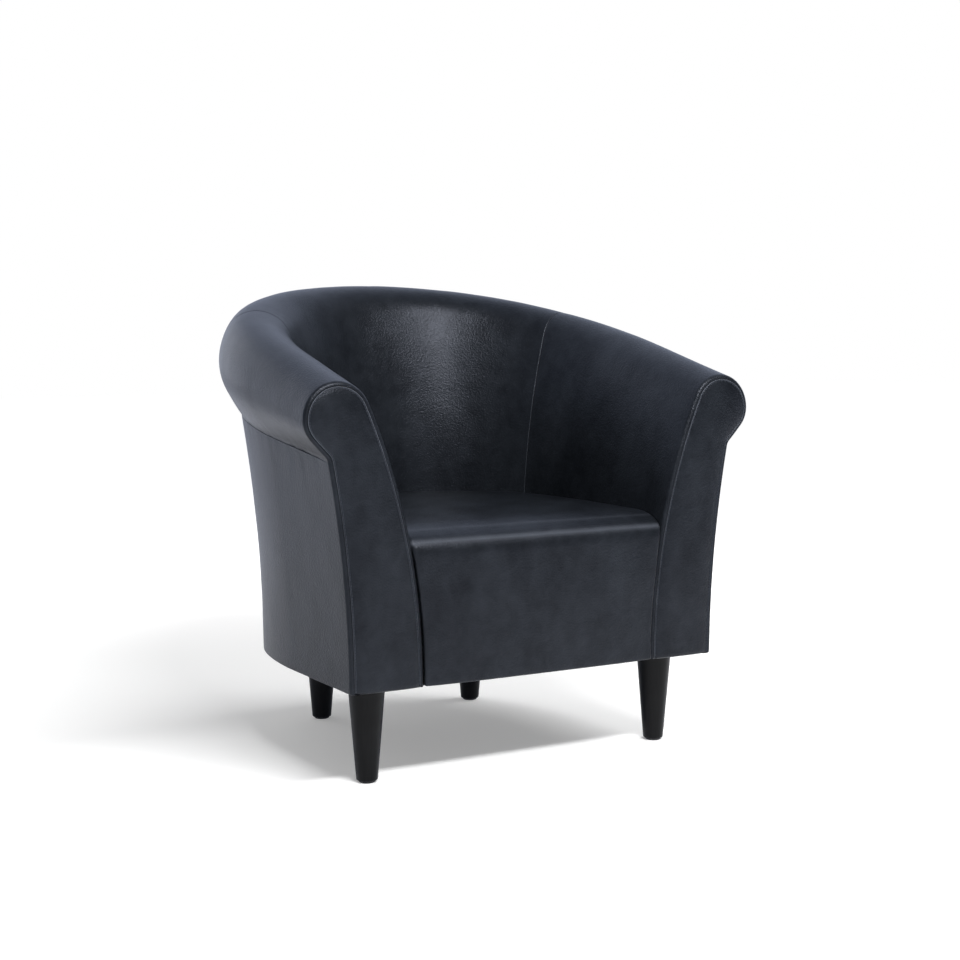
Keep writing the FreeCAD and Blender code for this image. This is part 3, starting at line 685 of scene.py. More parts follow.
def leather():
    """Polyurethane leather, embossed with a pebble grain and printed with a cloudy two-tone finish: dark
    blue-black with paler smudges, a soft sheen that spreads at a low angle, and fine broken highlights."""
    material, tree, place = blank_material("polyurethane_leather")
    tall = add(tree, "ShaderNodeMapping", [("Vector", place), ("Scale", (1.0, 1.0, 0.45))])
    clouds = add(
        tree,
        "ShaderNodeTexNoise",
        [("Vector", tall), ("Scale", per_metre(85)), ("Detail", 4.0), ("Roughness", 0.62)],
    )
    smudges = add(
        tree,
        "ShaderNodeTexNoise",
        [("Vector", place), ("Scale", per_metre(26)), ("Detail", 3.0), ("Distortion", 0.8)],
    )
    tone = add(tree, "ShaderNodeMix", [("Factor", 0.34), ("A", clouds), ("B", smudges)])
    stops = ((0.32, "#0c0e11"), (0.68, "#1b1e22"))
    finish = add(tree, "ShaderNodeValToRGB", [("Fac", tone)], stops)
    # Painted highlight: a pale grey mixed into the colour along the edges that the attribute marks
    highlit = add(tree, "ShaderNodeAttribute", attribute_name="painted_highlight").outputs["Fac"]
    paled_by_highlight = [("Factor", highlit), ("A", finish), ("B", linear("#8b919e"))]
    colour = add(tree, "ShaderNodeMix", paled_by_highlight, data_type="RGBA")
    # The real pebbles are about 1.2 mm across and would not show, so they are drawn larger.
    pebbles = add(
        tree,
        "ShaderNodeTexVoronoi",
        [("Vector", place), ("Scale", per_metre(3.0)), ("Randomness", 0.9)],
        feature="SMOOTH_F1",
    )
    fine = add(tree, "ShaderNodeTexNoise", [("Vector", place), ("Scale", per_metre(1.3)), ("Detail", 2.0)])
    grain = add(tree, "ShaderNodeMath", [(0, pebbles), (1, fine)], operation="ADD")
    bump = add(tree, "ShaderNodeBump", [("Height", grain), ("Strength", 0.55), ("Distance", 0.7 * MM)])
    gloss = add(tree, "ShaderNodeMapRange", [("Value", tone), ("To Min", 0.28), ("To Max", 0.40)])
    shine = add(
        tree,
        "ShaderNodeMapRange",
        [("Value", tone), ("From Min", 0.35), ("From Max", 0.65), ("To Min", 0.21), ("To Max", 0.28)],
    )
    looks = [("Base Color", colour), ("Roughness", gloss), ("Normal", bump)]
    sheen = [("Specular IOR Level", shine), ("Specular Tint", linear("#e4eafb"))]
    return surfaced(material, looks + sheen)


def lacquered_wood():
    """Turned hardwood, stained black and sprayed with satin lacquer: nearly black, with a faint upright
    grain that shows in the sheen."""
    material, tree, place = blank_material("black_lacquered_wood")
    upright = add(tree, "ShaderNodeMapping", [("Vector", place), ("Scale", (1.0, 1.0, 0.05))])
    grain = add(tree, "ShaderNodeTexNoise", [("Vector", upright), ("Scale", per_metre(3.5)), ("Detail", 4.0)])
    satin = add(tree, "ShaderNodeMapRange", [("Value", grain), ("To Min", 0.30), ("To Max", 0.44)])
    stops = ((0.3, "#030304"), (0.7, "#0b0b0c"))
    return grained(material, grain, stops, roughness=satin, strength=0.25, depth=0.4, shine=0.16)


def plywood():
    """Poplar plywood, unfinished: pale tan and matte, with a long, slightly wavy grain."""
    material, tree, place = blank_material("poplar_plywood")
    long = add(tree, "ShaderNodeMapping", [("Vector", place), ("Scale", (0.12, 1.0, 1.0))])
    grain = add(
        tree,
        "ShaderNodeTexNoise",
        [("Vector", long), ("Scale", per_metre(5)), ("Detail", 5.0), ("Distortion", 0.6)],
    )
    stops = ((0.3, "#a57f52"), (0.7, "#d2b184"))
    return grained(material, grain, stops, roughness=0.72, strength=0.3, depth=0.3)


def pressed_board(name, dark, light, flake):
    """Pressed fibre board: matte, with short mixed fibres of a size in mm."""
    material, tree, place = blank_material(name)
    fibres = add(
        tree,
        "ShaderNodeTexNoise",
        [("Vector", place), ("Scale", per_metre(flake)), ("Detail", 6.0), ("Roughness", 0.7)],
    )
    stops = ((0.3, dark), (0.7, light))
    return grained(material, fibres, stops, roughness=0.85, strength=0.25, depth=0.3)


def nonwoven_cloth():
    """Spun-bonded polypropylene cloth: black, matte, with a small embossed dot pattern."""
    material, tree, place = blank_material("spunbond_cloth")
    dots = add(
        tree,
        "ShaderNodeTexVoronoi",
        [("Vector", place), ("Scale", per_metre(2.5)), ("Randomness", 0.15)],
    )
    stops = ((0.1, "#0d0d0e"), (0.6, "#232325"))
    return grained(material, dots, stops, roughness=0.9, strength=0.4, depth=0.3)


def plated_steel():
    """Zinc-plated steel, drawn and stamped: grey metal with cloudy dull spots."""
    material, tree, place = blank_material("zinc_plated_steel")
    spots = add(tree, "ShaderNodeTexNoise", [("Vector", place), ("Scale", per_metre(6)), ("Detail", 4.0)])
    stops = ((0.3, "#8d9094"), (0.7, "#b9bcc0"))
    colour = add(tree, "ShaderNodeValToRGB", [("Fac", spots)], stops)
    gloss = add(tree, "ShaderNodeMapRange", [("Value", spots), ("To Min", 0.28), ("To Max", 0.5)])
    return surfaced(material, [("Base Color", colour), ("Metallic", 1.0), ("Roughness", gloss)])


def moulded_plastic():
    """Moulded polyethylene: dull black with a fine spark-eroded texture."""
    material, tree, place = blank_material("moulded_polyethylene")
    grit = add(tree, "ShaderNodeTexNoise", [("Vector", place), ("Scale", per_metre(0.8)), ("Detail", 3.0)])
    stops = ((0.3, "#101011"), (0.7, "#242426"))
    return grained(material, grit, stops, roughness=0.6, strength=0.3, depth=0.2)


def bonded_thread():
    """Bonded polyester thread: a shade paler than the leather, with fine uneven fibres."""
    material, tree, place = blank_material("bonded_polyester_thread")
    fibres = add(tree, "ShaderNodeTexNoise", [("Vector", place), ("Scale", per_metre(0.7))])
    stops = ((0.3, "#1c2029"), (0.7, "#333945"))
    colour = add(tree, "ShaderNodeValToRGB", [("Fac", fibres)], stops)
    return surfaced(material, [("Base Color", colour), ("Roughness", 0.5)])


LEATHER = leather()
LEG_WOOD = lacquered_wood()
PLYWOOD = plywood()
HARDBOARD = pressed_board("hardboard", "#5a3f28", "#7a583a", 2.0)
GREY_BOARD = pressed_board("grey_board", "#8a857b", "#aca79c", 3.0)
CLOTH_BLACK = nonwoven_cloth()
STEEL = plated_steel()
PLASTIC = moulded_plastic()
THREAD = bonded_thread()


# Covers of the wall. Their rows are (distance, inset, distance of the inner side, its inset).


def front_lip():
    """Rows of a cover that rolls over the front edge into the facing's seam."""
    thin = FRONT_ROLL - COVER
    rows = [
        (3.5, FACING_SEAM, 3.5, FACING_SEAM - 1.2),
        (0.9, FACING_SEAM - 0.05, 2.4, FACING_SEAM - 1.15),
        (0.25, FACING_SEAM - 0.3, 1.8, FACING_SEAM - 1.0),
    ]
    for turn in (90, 78, 66, 54, 42, 30, 18, 8):
        swing = math.radians(turn)
        back = math.sin(swing)
        inward = math.cos(swing)
        outer = (FRONT_ROLL - FRONT_ROLL * back, FRONT_ROLL - FRONT_ROLL * inward)
        rows.append((*outer, FRONT_ROLL - thin * back, FRONT_ROLL - thin * inward))
    return rows


def arm_rows(depth):
    """Rows of an arm cover from the facing's seam to the panel seam, with the depth behind the panel."""
    rows = front_lip()
    seam = PANEL_SEAM - PANEL_GAP
    for distance in [FRONT_ROLL + 1.5, 12.0, 20.0, PANEL_BACK - 0.4]:
        rows.append((distance, 0.0, distance, COVER))
    for distance in spread(PANEL_BACK + 0.6, PANEL_SEAM - SEAM_ZONE, ARM_STEPS):
        rows.append((distance, seam_draw(PANEL_SEAM - distance), distance, depth))
    for gap in reversed(NEAR_SEAM):
        distance = seam - gap
        rows.append((distance, seam_draw(gap), distance, depth))
    rows.append((seam, SEAM_DEPTH, seam, max(depth, SEAM_DEPTH + COVER)))
    return rows


def back_rows(depth):
    """Rows of the right half of a back cover, from the panel seam to the middle."""
    seam = PANEL_SEAM + PANEL_GAP
    rows = [(seam, SEAM_DEPTH, seam, max(depth, SEAM_DEPTH + COVER))]
    for gap in seam_steps(WALL_LENGTH - PANEL_SEAM - PANEL_GAP):
        distance = seam + gap
        rows.append((distance, seam_draw(gap), distance, depth))
    return rows


def wall_point(distance, out, up, side=1.0):
    x, behind, out_x, out_y = plan(distance)
    return side * (x + out_x * out), behind + out_y * out, up


def set_in(distance, point, inset, side):
    """A point of a section, moved in from the surface."""
    out, up, way_out, way_up = point
    return wall_point(distance, out - inset * way_out, up - inset * way_up, side)


def stacked(rows):
    """Outer and inner points of rows that hold a line of each."""
    outer, inner = zip(*rows)
    return np.array(outer), np.array(inner)


def roll_run(distance):
    """From the neck over the roll to the tuck. At the front, where the edge of the arm shows beside the
    seat, the run goes on to the bottom."""
    section = Section(distance)
    stop = 0.6 + (TUCK - 2.0) * share_of(distance, PANEL_BACK, 40.0)
    neck = section.roll[0]
    first = NECK_GAP / abs(neck[4] * (neck[3] - neck[2]))
    shares = [(first, *NEAR_NECK), *even_shares(ROLL_STEPS)]
    return sample_run([*section.roll, section.tucked(), section.lower(stop)], shares)


def outside_run(distance):
    """The outside from under the hem, which rolls under the bottom edge, to the neck."""
    outside = Section(distance).outside
    length = abs(outside[4] * (outside[3] - outside[2]))
    last = [1.0 - rest / length for rest in BELOW_NECK]
    run = sample_run([outside], [spread(0.0, 1.0, OUTSIDE_STEPS)[:-1] + last])
    first_out, first_up, way_out, way_up = run[0]
    points = [(first_out - HEM_RADIUS - HEM_UNDER, 0.0, way_out, way_up)]
    for turn in (90, 68, 46, 24):
        swing = math.radians(turn)
        inset = HEM_RADIUS - HEM_RADIUS * math.cos(swing)
        points.append((first_out - inset, HEM_RADIUS - HEM_RADIUS * math.sin(swing), way_out, way_up))
    return points + [tuple(point) for point in run if point[1] > HEM_RADIUS]


def neck_draw(length, distance, side):
    """How a cover is drawn in at a length from the crease under the roll, with small puckers along it."""
    pucker = waves((distance * side, 0.0, 70.0), PUCKER_LONG)
    pucker += 0.6 * waves((distance * side, 40.0, 0.0), PUCKER_SHORT)
    drawn = NECK_SINK * math.exp(-length / NECK_SINK_REACH)
    drawn += NECK_CREASE * math.exp(-length / NECK_CREASE_REACH)
    drawn += PUCKER * pucker * math.exp(-length / PUCKER_REACH)
    return drawn + rounded(length, NECK_ROUND)


def inside_swell(distance, up, crest):
    """How far the filling stands out on the inside, at a height below the crest of the roll; the back is
    filled more than the arms."""
    share = (up - SEAT_HEIGHT) / (crest - SWELL_BELOW - SEAT_HEIGHT)
    if share <= 0.0 or share >= 1.0:
        return 0.0
    to_back = smooth((distance - SWELL_FROM) / (WALL_LENGTH - SWELL_FROM))
    most = ARM_SWELL + (BACK_SWELL - ARM_SWELL) * to_back
    return 4.0 * most * share * (1.0 - share) * smooth((1.0 - share) / 0.25)


def rolled_row(row, side=1.0):
    """Outer and inner points along a row of a rolled cover."""
    distance, draw, inner_distance, depth = row
    run = roll_run(distance)
    lengths = run_lengths(run)
    top = int(np.argmax(run[:, 1]))
    settle = min(distance / SETTLE, 1.0)
    line = []
    for point, length in zip(run, lengths):
        uneven = softness(set_in(distance, point, 0.0, side))
        inset = draw + settle * (neck_draw(length, distance, side) + uneven + SWELL_ROOM)
        if length > lengths[top]:
            inset -= settle * inside_swell(distance, point[1], run[top, 1])
        if not line:
            line.append(set_in(distance, point, inset + NECK_TUCK, side))
        line.append(set_in(distance, point, inset, side))
    under = []
    for point in roll_run(inner_distance):
        thick = depth if point[1] > TUCK - 1.0 else min(depth, draw + COVER)
        if not under:
            deep = max(thick, draw + NECK_TUCK + 2 * COVER)
            under.append(set_in(inner_distance, point, deep, side))
        under.append(set_in(inner_distance, point, thick, side))
    return line, under


def outside_row(row, side=1.0):
    """Outer and inner points along a row of an outside cover, from its hem to the neck."""
    distance, draw, inner_distance, depth = row
    run = outside_run(distance)
    line = []
    for point in run:
        up = point[1]
        settle = min(distance / SETTLE, 1.0) * min(up / SETTLE, 1.0)
        uneven = OUTSIDE_SOFT * softness(set_in(distance, point, 0.0, side))
        inset = draw + settle * (uneven + neck_draw(run[-1][1] - up, distance, side))
        if distance > PANEL_BACK:
            inset = min(inset, ON_BOARD)
        line.append(set_in(distance, point, inset, side))
    deep = inset + NECK_TUCK
    line.append(set_in(distance, point, deep, side))
    under = []
    for out, up, way_out, way_up in outside_run(inner_distance):
        lift = COVER if up < HEM_RADIUS else 0.0
        under.append(wall_point(inner_distance, out - depth * way_out, up + lift, side))
    under.append(wall_point(inner_distance, out - deep * way_out, up - COVER, side))
    return line, under


def both_halves(points_of, rows):
    """Rows of the back from the right seam round to the left one."""
    right = [points_of(row) for row in rows]
    left = [points_of(row, -1.0) for row in rows[:-1]]
    return stacked(right + left[::-1])


def seam_highlight(rows):
    """How much painted highlight a rolled cover has along its rows: a little on the edges of the panel seam.
    """
    return [SEAM_HIGHLIGHT * peak(abs(row[0] - PANEL_SEAM), SEAM_HIGHLIGHT_AT, SEAM_HIGHLIGHT_WIDE) for row in rows]


def arm_pads():
    """The padded rolls and insides of the two arms."""
    rows = arm_rows(PADDED)
    for name, side in SIDES:
        outer, inner = stacked([rolled_row(row, side) for row in rows])
        outer = relaxed(outer, inner, ARM_PRESSURE)
        pad = closed_grid("arm_pad_" + name, outer, inner, LEATHER, seam_highlight(rows))
        nodes = ["arm_cover_", "arm_roll_foam_", "arm_inside_foam_"]
        belongs(pad, "cover_leather", *[node + name for node in nodes])


def back_pad():
    """The padded roll and inside of the back."""
    rows = back_rows(PADDED)
    outer, inner = both_halves(rolled_row, rows)
    outer = relaxed(outer, inner, BACK_PRESSURE)
    painted_highlight = seam_highlight(rows)
    pad = closed_grid("back_pad", outer, inner, LEATHER, painted_highlight + painted_highlight[::-1][1:])
    belongs(pad, "cover_leather", "back_cover", "back_roll_foam", "back_inside_foam")


def thin_rows(rows):
    """Rows of a cover without padding; only its very edge goes into the seam, and closes it."""
    made = []
    for distance, draw, inner_distance, depth in rows:
        if distance < PANEL_BACK:
            made.append((distance, draw, inner_distance, depth))
        else:
            drawn = min(THIN_PULL * draw, COVER)
            from_seam = distance - PANEL_SEAM
            if abs(from_seam) < 1.25 * PANEL_GAP:
                distance = PANEL_SEAM + 0.1 * from_seam
            made.append((distance, drawn, distance, drawn + COVER))
    return made


def outside_covers():
    """The plain outside covers of the arms and the back, stretched over their boards."""
    rows = thin_rows(arm_rows(COVER))
    for name, side in SIDES:
        outer, inner = stacked([outside_row(row, side) for row in rows])
        cover = closed_grid("arm_outside_" + name, outer, inner, LEATHER)
        belongs(cover, "cover_leather", "arm_outside_cover_" + name)
    outer, inner = both_halves(outside_row, thin_rows(back_rows(COVER)))
    cover = closed_grid("back_outside", outer, inner, LEATHER)
    belongs(cover, "cover_leather", "back_outside_cover")


# Facings of the arms


def facing_run():
    """The outline of the facing, from its bottom outer corner round the scroll to the inner one."""
    section = Section(0.0)
    climb = eased(0.0, 1.0, 24, 1.7)[:-1]
    fall = [1.0 - share for share in reversed(eased(0.0, 1.0, 30, 1.5))]
    shares = [climb, *even_shares(FACING_STEPS)]
    shares[-1] = shares[-1][:-1]
    shares.append(fall)
    return sample_run([section.outside, *section.roll, section.inside], shares)


def facing_profile():
    """Loops of the facing from its seam to its middle: (inset, behind). Between the seam and the row of
    stitches the two layers of leather make a narrow ridge."""
    return [
        (FACING_SEAM + 0.1, 3.2),
        (FACING_SEAM + 0.1, 0.8),
        (FACING_SEAM + 0.2, 0.15),
        (FACING_SEAM + 0.5, -0.35),
        (FACING_SEAM + 0.95, -0.55),
        (FACING_SEAM + 1.4, -0.45),
        (FACING_SEAM + 1.9, -0.1),
        (STITCH_LINE - 0.4, 0.12),
        (STITCH_LINE, 0.15),
        (STITCH_LINE + 0.6, 0.02),
        (STITCH_LINE + 1.7, -0.35),
        (STITCH_LINE + 4.0, -0.95),
        (STITCH_LINE + 8.0, -1.6),
        (STITCH_LINE + 13.0, -2.2),
        (STITCH_LINE + 19.0, -2.7),
        (STITCH_LINE + 25.0, -FACING_BULGE),
    ]


def facing_faces(loops, count):
    """Quads between the loops, and rungs across the last one."""
    faces = grid_faces(loops, count)
    start = (loops - 1) * count
    for step in range(count // 2 - 1):
        left, right = start + step, start + count - 1 - step
        faces.append((left, right, right - 1, left + 1))
    middle = start + count // 2
    faces.append((middle - 1, middle + 1, middle))
    return faces


def facings():
    """The padded scroll-shaped fronts of the arms."""
    run = facing_run()
    profile = facing_profile()
    outer = []
    inner = []
    painted_highlight = []
    for inset, behind in profile:
        ridge = max(1.0 - abs(inset - FACING_RIDGE) / RIDGE_HALF_WIDTH, 0.0)
        for out, up, way_out, way_up in run:
            x = BODY_HALF_WIDTH + out - inset * way_out
            rise = max(up - inset * way_up, 0.0)
            uneven = softness((x, behind, rise)) * min(inset / 60.0, 1.0)
            outer.append((x, behind + rounded(rise, HEM_RADIUS) + uneven, rise))
            inner.append((x - 0.3 * way_out, FACING_BACK, max(rise, COVER)))
            # Painted highlight along the ridge beside the seam
            painted_highlight.append(ridge * facing_highlight(out, up))
    faces = facing_faces(len(profile), len(run))
    for name, turn in (("right", np.asarray), ("left", mirrored)):
        facing = closed_between("facing_" + name, turn(outer), turn(inner), faces, LEATHER, painted_highlight)
        belongs(facing, "cover_leather", "facing_cover_" + name, "facing_pad_" + name)


# Seat


def seat_profile():
    """The seat from under its front edge to where its flat starts: (behind, up). The front turns into the
    top at two soft edges with a sloping band between them."""
    rows = [(9.0, 1.0)]
    front = SEAT_HEM - SEAT_PROUD
    for turn in spread(0.0, 90.0, 5):
        swing = math.radians(turn)
        rows.append((front - SEAT_HEM * math.sin(swing), 0.2 + SEAT_HEM - SEAT_HEM * math.cos(swing)))
    behind, up = rows[-1]
    climb = []
    length = up
    while behind < TOP_START - 6.0:
        turned = FRONT_TURN * smooth((length - FRONT_EDGE) / FRONT_EDGE_LONG)
        turned += BAND_TURN * smooth((length - BAND_EDGE) / BAND_EDGE_LONG)
        heading = math.radians(90.0 - turned)
        step = FRONT_STEP if length < FRONT_EDGE else EDGE_STEP
        behind += step * math.cos(heading)
        up += step * math.sin(heading)
        length += step
        climb.append((behind, up))
    lift = (SEAT_EDGE - SEAT_HEM) / (up - SEAT_HEM)
    return np.array(rows + [(behind, SEAT_HEM + (up - SEAT_HEM) * lift) for behind, up in climb])


def side_drop(gap, radius):
    """How far the seat's cover falls away at a gap from the arm."""
    return rounded(gap, radius) + SIDE_SINK * math.exp(-gap / SIDE_SINK_REACH)


def front_round(up):
    """How the seat rounds into the arms at a height of its front."""
    share = share_of(up, CORNER_FROM, CORNER_LONG)
    return SEAT_FRONT_ROUND + (SEAT_CORNER_ROUND - SEAT_FRONT_ROUND) * share


def half_seat(behind, up):
    """Half the room between the arms at a place near the front."""
    distance = max(behind, 0.0)
    return BODY_HALF_WIDTH + Section(distance).inside_at(min(max(up, 0.5), 300.0)) - SEAT_GAP


def seat_rim(distance):
    """The inside of the wall at the height of the seat."""
    x, behind, out_x, out_y = plan(distance)
    out = Section(distance).inside_at(SEAT_HEIGHT - 4.0) - SEAT_GAP
    return x + out_x * out, behind + out_y * out


def across_shares():
    """Shares of the seat's half width, closer together at the arms."""
    right = [1.0 - gap / SEAT_HALF_WIDTH for gap in NEAR_ARM]
    middle = spread(right[-1], -right[-1], 42)[1:-1]
    return right + middle + [-share for share in reversed(right)]


def back_shares():
    """Shares of the seat's length, closer together at the back."""
    return spread(0.0, 1.0 - NEAR_BACK[-1], 44)[1:-1] + [1.0 - gap for gap in reversed(NEAR_BACK)]


def seat_patch(shares):
    """The flat of the seat as rows of (across, behind): as wide as the room between the arms, and more and
    more bent to the round back."""
    corner = TOP_CORNER * WALL_LENGTH
    back = []
    for share in shares:
        x, behind = seat_rim(WALL_LENGTH - (WALL_LENGTH - corner) * abs(share))
        back.append((math.copysign(x, share), behind))
    corner_x, corner_behind = back[0]
    rows = []
    for along_share in back_shares():
        half, start = seat_rim(TOP_START + (corner - TOP_START) * along_share)
        row = []
        for share, (x, behind) in zip(shares, back):
            across = half * share + along_share * (x - corner_x * share)
            row.append((across, start + along_share * (behind - corner_behind)))
        rows.append(row)
    return rows


def seat_front_rows(shares):
    """Outer and inner points of the seat's front and front edge."""
    profile = seat_profile()
    turn = np.gradient(profile, axis=0)
    facing_out = np.stack([-turn[:, 1], turn[:, 0]], axis=1)
    facing_out /= np.linalg.norm(facing_out, axis=1)[:, None]
    lengths = run_lengths(profile)
    rows = []
    for (behind, up), (way_behind, way_up), length in zip(profile, facing_out, lengths):
        half = half_seat(behind, up)
        share_up = min(up / DECK_HEIGHT, 1.0)
        share_back = max((length - DECK_HEIGHT) / (lengths[-1] - DECK_HEIGHT), 0.0)
        inner_behind = RAIL_FRONT + (TOP_START - RAIL_FRONT) * share_back
        line = []
        under = []
        for number, share in enumerate([shares[0], *shares, shares[-1]]):
            x = share * half
            drop = side_drop(half - abs(x), front_round(up))
            soft = softness((x, behind, up))
            if number in (0, len(shares) + 1):
                drop += SEAT_TUCK * min(up / TUCK_RISE, 1.0)
                soft = 0.0
            depth = drop + (soft + SWELL_ROOM) * min(up / SOFT_RISE, 1.0)
            line.append((x, behind - way_behind * depth, up - way_up * depth))
            under.append((x * SEAT_INNER, inner_behind, 2.0 + (DECK_HEIGHT - 2.0) * share_up))
        rows.append((line, under))
    return rows


def seat_top_rows(shares):
    """Outer and inner points of the seat's flat, which is tucked in at the sides and the back."""
    half_rim = np.array([seat_rim(distance) for distance in spread(0.0, WALL_LENGTH, 400)])
    rim = np.concatenate([half_rim, half_rim * (-1.0, 1.0)])
    patch = seat_patch(shares)
    patch.append(patch[-1])
    rows = []
    for row_number, row in enumerate(patch):
        settled = min(row_number / SIDE_ROUND_ROWS, 1.0)
        side_round = SEAT_CORNER_ROUND + (SEAT_SIDE_ROUND - SEAT_CORNER_ROUND) * settled
        line = []
        under = []
        for number, (x, behind) in enumerate([row[0], *row, row[-1]]):
            drop = side_drop(float(np.min(np.hypot(rim[:, 0] - x, rim[:, 1] - behind))), side_round)
            soft = softness((x, behind, 0.0))
            if number in (0, len(row) + 1) or row_number == len(patch) - 1:
                drop += SEAT_TUCK
                soft = 0.0
            crown = SEAT_CROWN * math.sin(min((behind - TOP_START) / SEAT_CROWN_LONG, 1.0) * math.pi / 2)
            line.append((x, behind, SEAT_EDGE + crown - drop - soft - SWELL_ROOM))
            under.append((x * SEAT_INNER, behind * SEAT_INNER_BACK, DECK_HEIGHT))
        rows.append((line, under))
    return rows


def seat_highlight():
    """How much painted highlight the seat has along the rows of its front: on the two edges of the sloping
    band.
    """
    painted_highlight = []
    for behind, up in seat_profile():
        band = peak(behind, BAND_HIGHLIGHT_BEHIND, SEAT_HIGHLIGHT_WIDE) * (up > 200.0)
        painted_highlight.append(FRONT_HIGHLIGHT * peak(up, FRONT_HIGHLIGHT_UP, SEAT_HIGHLIGHT_WIDE) + BAND_HIGHLIGHT * band)
    return painted_highlight


def seat_pad():
    """The tight seat: one padded cover over the top and down the front, tucked in along the wall."""
    shares = across_shares()
    top = seat_top_rows(shares)
    outer, inner = stacked(seat_front_rows(shares) + top)
    outer[:-1, 1:-1] = relaxed(outer[:-1, 1:-1], inner[:-1, 1:-1], SEAT_PRESSURE)
    pad = closed_grid("seat_pad", outer, inner, LEATHER, seat_highlight() + [0.0] * len(top))
    belongs(pad, "cover_leather", "seat_cover", "seat_foam", "front_pad")


# Cloth under the base


def dust_cover():
    """The black cloth stapled under the base, which hangs a little between the boards."""
    lower = []
    for distance in spread(DUST_FRONT, WALL_LENGTH - 0.5, 90):
        x, behind, out_x, out_y = plan(distance, DUST_IN)
        line = []
        for share in spread(-1.0, 1.0, 48):
            across = share * x
            to_edge = min(x - abs(across), behind - DUST_FRONT, BODY_DEPTH - DUST_IN - behind)
            reach = BACK_RADIUS - DUST_IN - math.hypot(across, max(behind - BACK_CENTRE, 0.0))
            free = max(min(to_edge, reach) - (BASE_WIDTH - DUST_IN), 0.0)
            sag = DUST_SAG * (1 - math.exp(-free / DUST_SAG_REACH))
            sag += DUST_RIPPLE * waves((across, behind, 0.0), 40.0) * min(free / 20.0, 1.0)
            line.append((across, behind, -sag))
        lower.append(line)
    lower = np.array(lower)
    cloth = closed_grid("dust_cloth", lower, lower + (0.0, 0.0, CLOTH), CLOTH_BLACK)
    belongs(cloth, "black_cloth", "dust_cover")


# Stitches and staples


def wire_row_tree():
    """A row of small bent wires along a curve: stitches of thread, or staples."""
    tree = bpy.data.node_groups.new("wire_row", "GeometryNodeTree")
    kinds = {"Geometry": "Geometry", "Facing": "Vector", "Material": "Material"}
    sockets = {}
    for name in ("Geometry", "Pitch", "Length", "Radius", "Rise", "Facing", "Material"):
        kind = "NodeSocket" + kinds.get(name, "Float")
        sockets[name] = tree.interface.new_socket(name, in_out="INPUT", socket_type=kind).identifier
    tree.interface.new_socket("Geometry", in_out="OUTPUT", socket_type="NodeSocketGeometry")
    given = add(tree, "NodeGroupInput").outputs
    back = add(tree, "ShaderNodeMath", [(0, given["Length"]), (1, -0.5)], operation="MULTIPLY")
    top = add(tree, "ShaderNodeMath", [(0, given["Rise"]), (1, 2.0)], operation="MULTIPLY")
    half = add(tree, "ShaderNodeMath", [(0, given["Length"]), (1, 0.5)], operation="MULTIPLY")
    first = add(tree, "ShaderNodeCombineXYZ", [("X", back)])
    crown = add(tree, "ShaderNodeCombineXYZ", [("Z", top)])
    last = add(tree, "ShaderNodeCombineXYZ", [("X", half)])
    ends = [("Start", first), ("Middle", crown), ("End", last)]
    bow = add(tree, "GeometryNodeCurveQuadraticBezier", [("Resolution", 4), *ends])
    ring = add(tree, "GeometryNodeCurvePrimitiveCircle", [("Resolution", 6), ("Radius", given["Radius"])])
    sweep = [("Curve", bow), ("Profile Curve", ring), ("Fill Caps", True)]
    wire = add(tree, "GeometryNodeCurveToMesh", sweep)
    spacing = [("Curve", given["Geometry"]), ("Length", given["Pitch"])]
    points = add(tree, "GeometryNodeResampleCurve", spacing, mode="LENGTH")
    heading = add(tree, "GeometryNodeInputTangent")
    align = "FunctionNodeAlignRotationToVector"
    lengthwise = add(tree, align, [("Vector", heading)], axis="X")
    facing = [("Rotation", lengthwise), ("Vector", given["Facing"])]
    upright = add(tree, align, facing, axis="Z", pivot_axis="X")
    places = [("Points", points), ("Instance", wire), ("Rotation", upright)]
    row = add(tree, "GeometryNodeInstanceOnPoints", places)
    solid = add(tree, "GeometryNodeRealizeInstances", [("Geometry", row)])
    dressed = add(tree, "GeometryNodeSetMaterial", [("Geometry", solid), ("Material", given["Material"])])
    add(tree, "NodeGroupOutput", [("Geometry", dressed)])
    return tree, sockets


WIRE_ROW = wire_row_tree()


def wire_row(name, points, facing, material, **sizes):
    """A plain mesh of small wires along points of the body; sizes are in mm."""
    tree, sockets = WIRE_ROW
    path = bpy.data.curves.new(name + "_path", "CURVE")
    path.dimensions = "3D"
    spline = path.splines.new("POLY")
    spline.points.add(len(points) - 1)
    for target, place in zip(spline.points, in_metres(points)):
        target.co = (*place, 1.0)
    guide = placed(name + "_path", path)
    rule = guide.modifiers.new("wires", "NODES")
    rule.node_group = tree
    rule[sockets["Facing"]] = facing
    rule[sockets["Material"]] = material
    for label, size in sizes.items():
        rule[sockets[label]] = size * MM
    bpy.context.view_layer.update()
    mesh = bpy.data.meshes.new_from_object(guide.evaluated_get(bpy.context.evaluated_depsgraph_get()))
    mesh.name = name
    bpy.data.objects.remove(guide)
    mesh.shade_smooth()
    return placed(name, mesh)


def facing_stitches():
    """The row of stitches just inside the seam of each facing."""
    points = []
    for out, up, way_out, way_up in facing_run():
        rise = up - STITCH_LINE * way_up
        if rise > HEM_RADIUS:
            points.append((BODY_HALF_WIDTH + out - STITCH_LINE * way_out, 0.1, rise))
    sizes = {"Pitch": STITCH_PITCH, "Length": STITCH_LENGTH, "Radius": THREAD_RADIUS, "Rise": 0.2}
    for name, turn in (("right", np.asarray), ("left", mirrored)):
        row = wire_row("facing_stitches_" + name, turn(points), (0.0, -1.0, 0.0), THREAD, **sizes)
        belongs(row, "cover_leather")


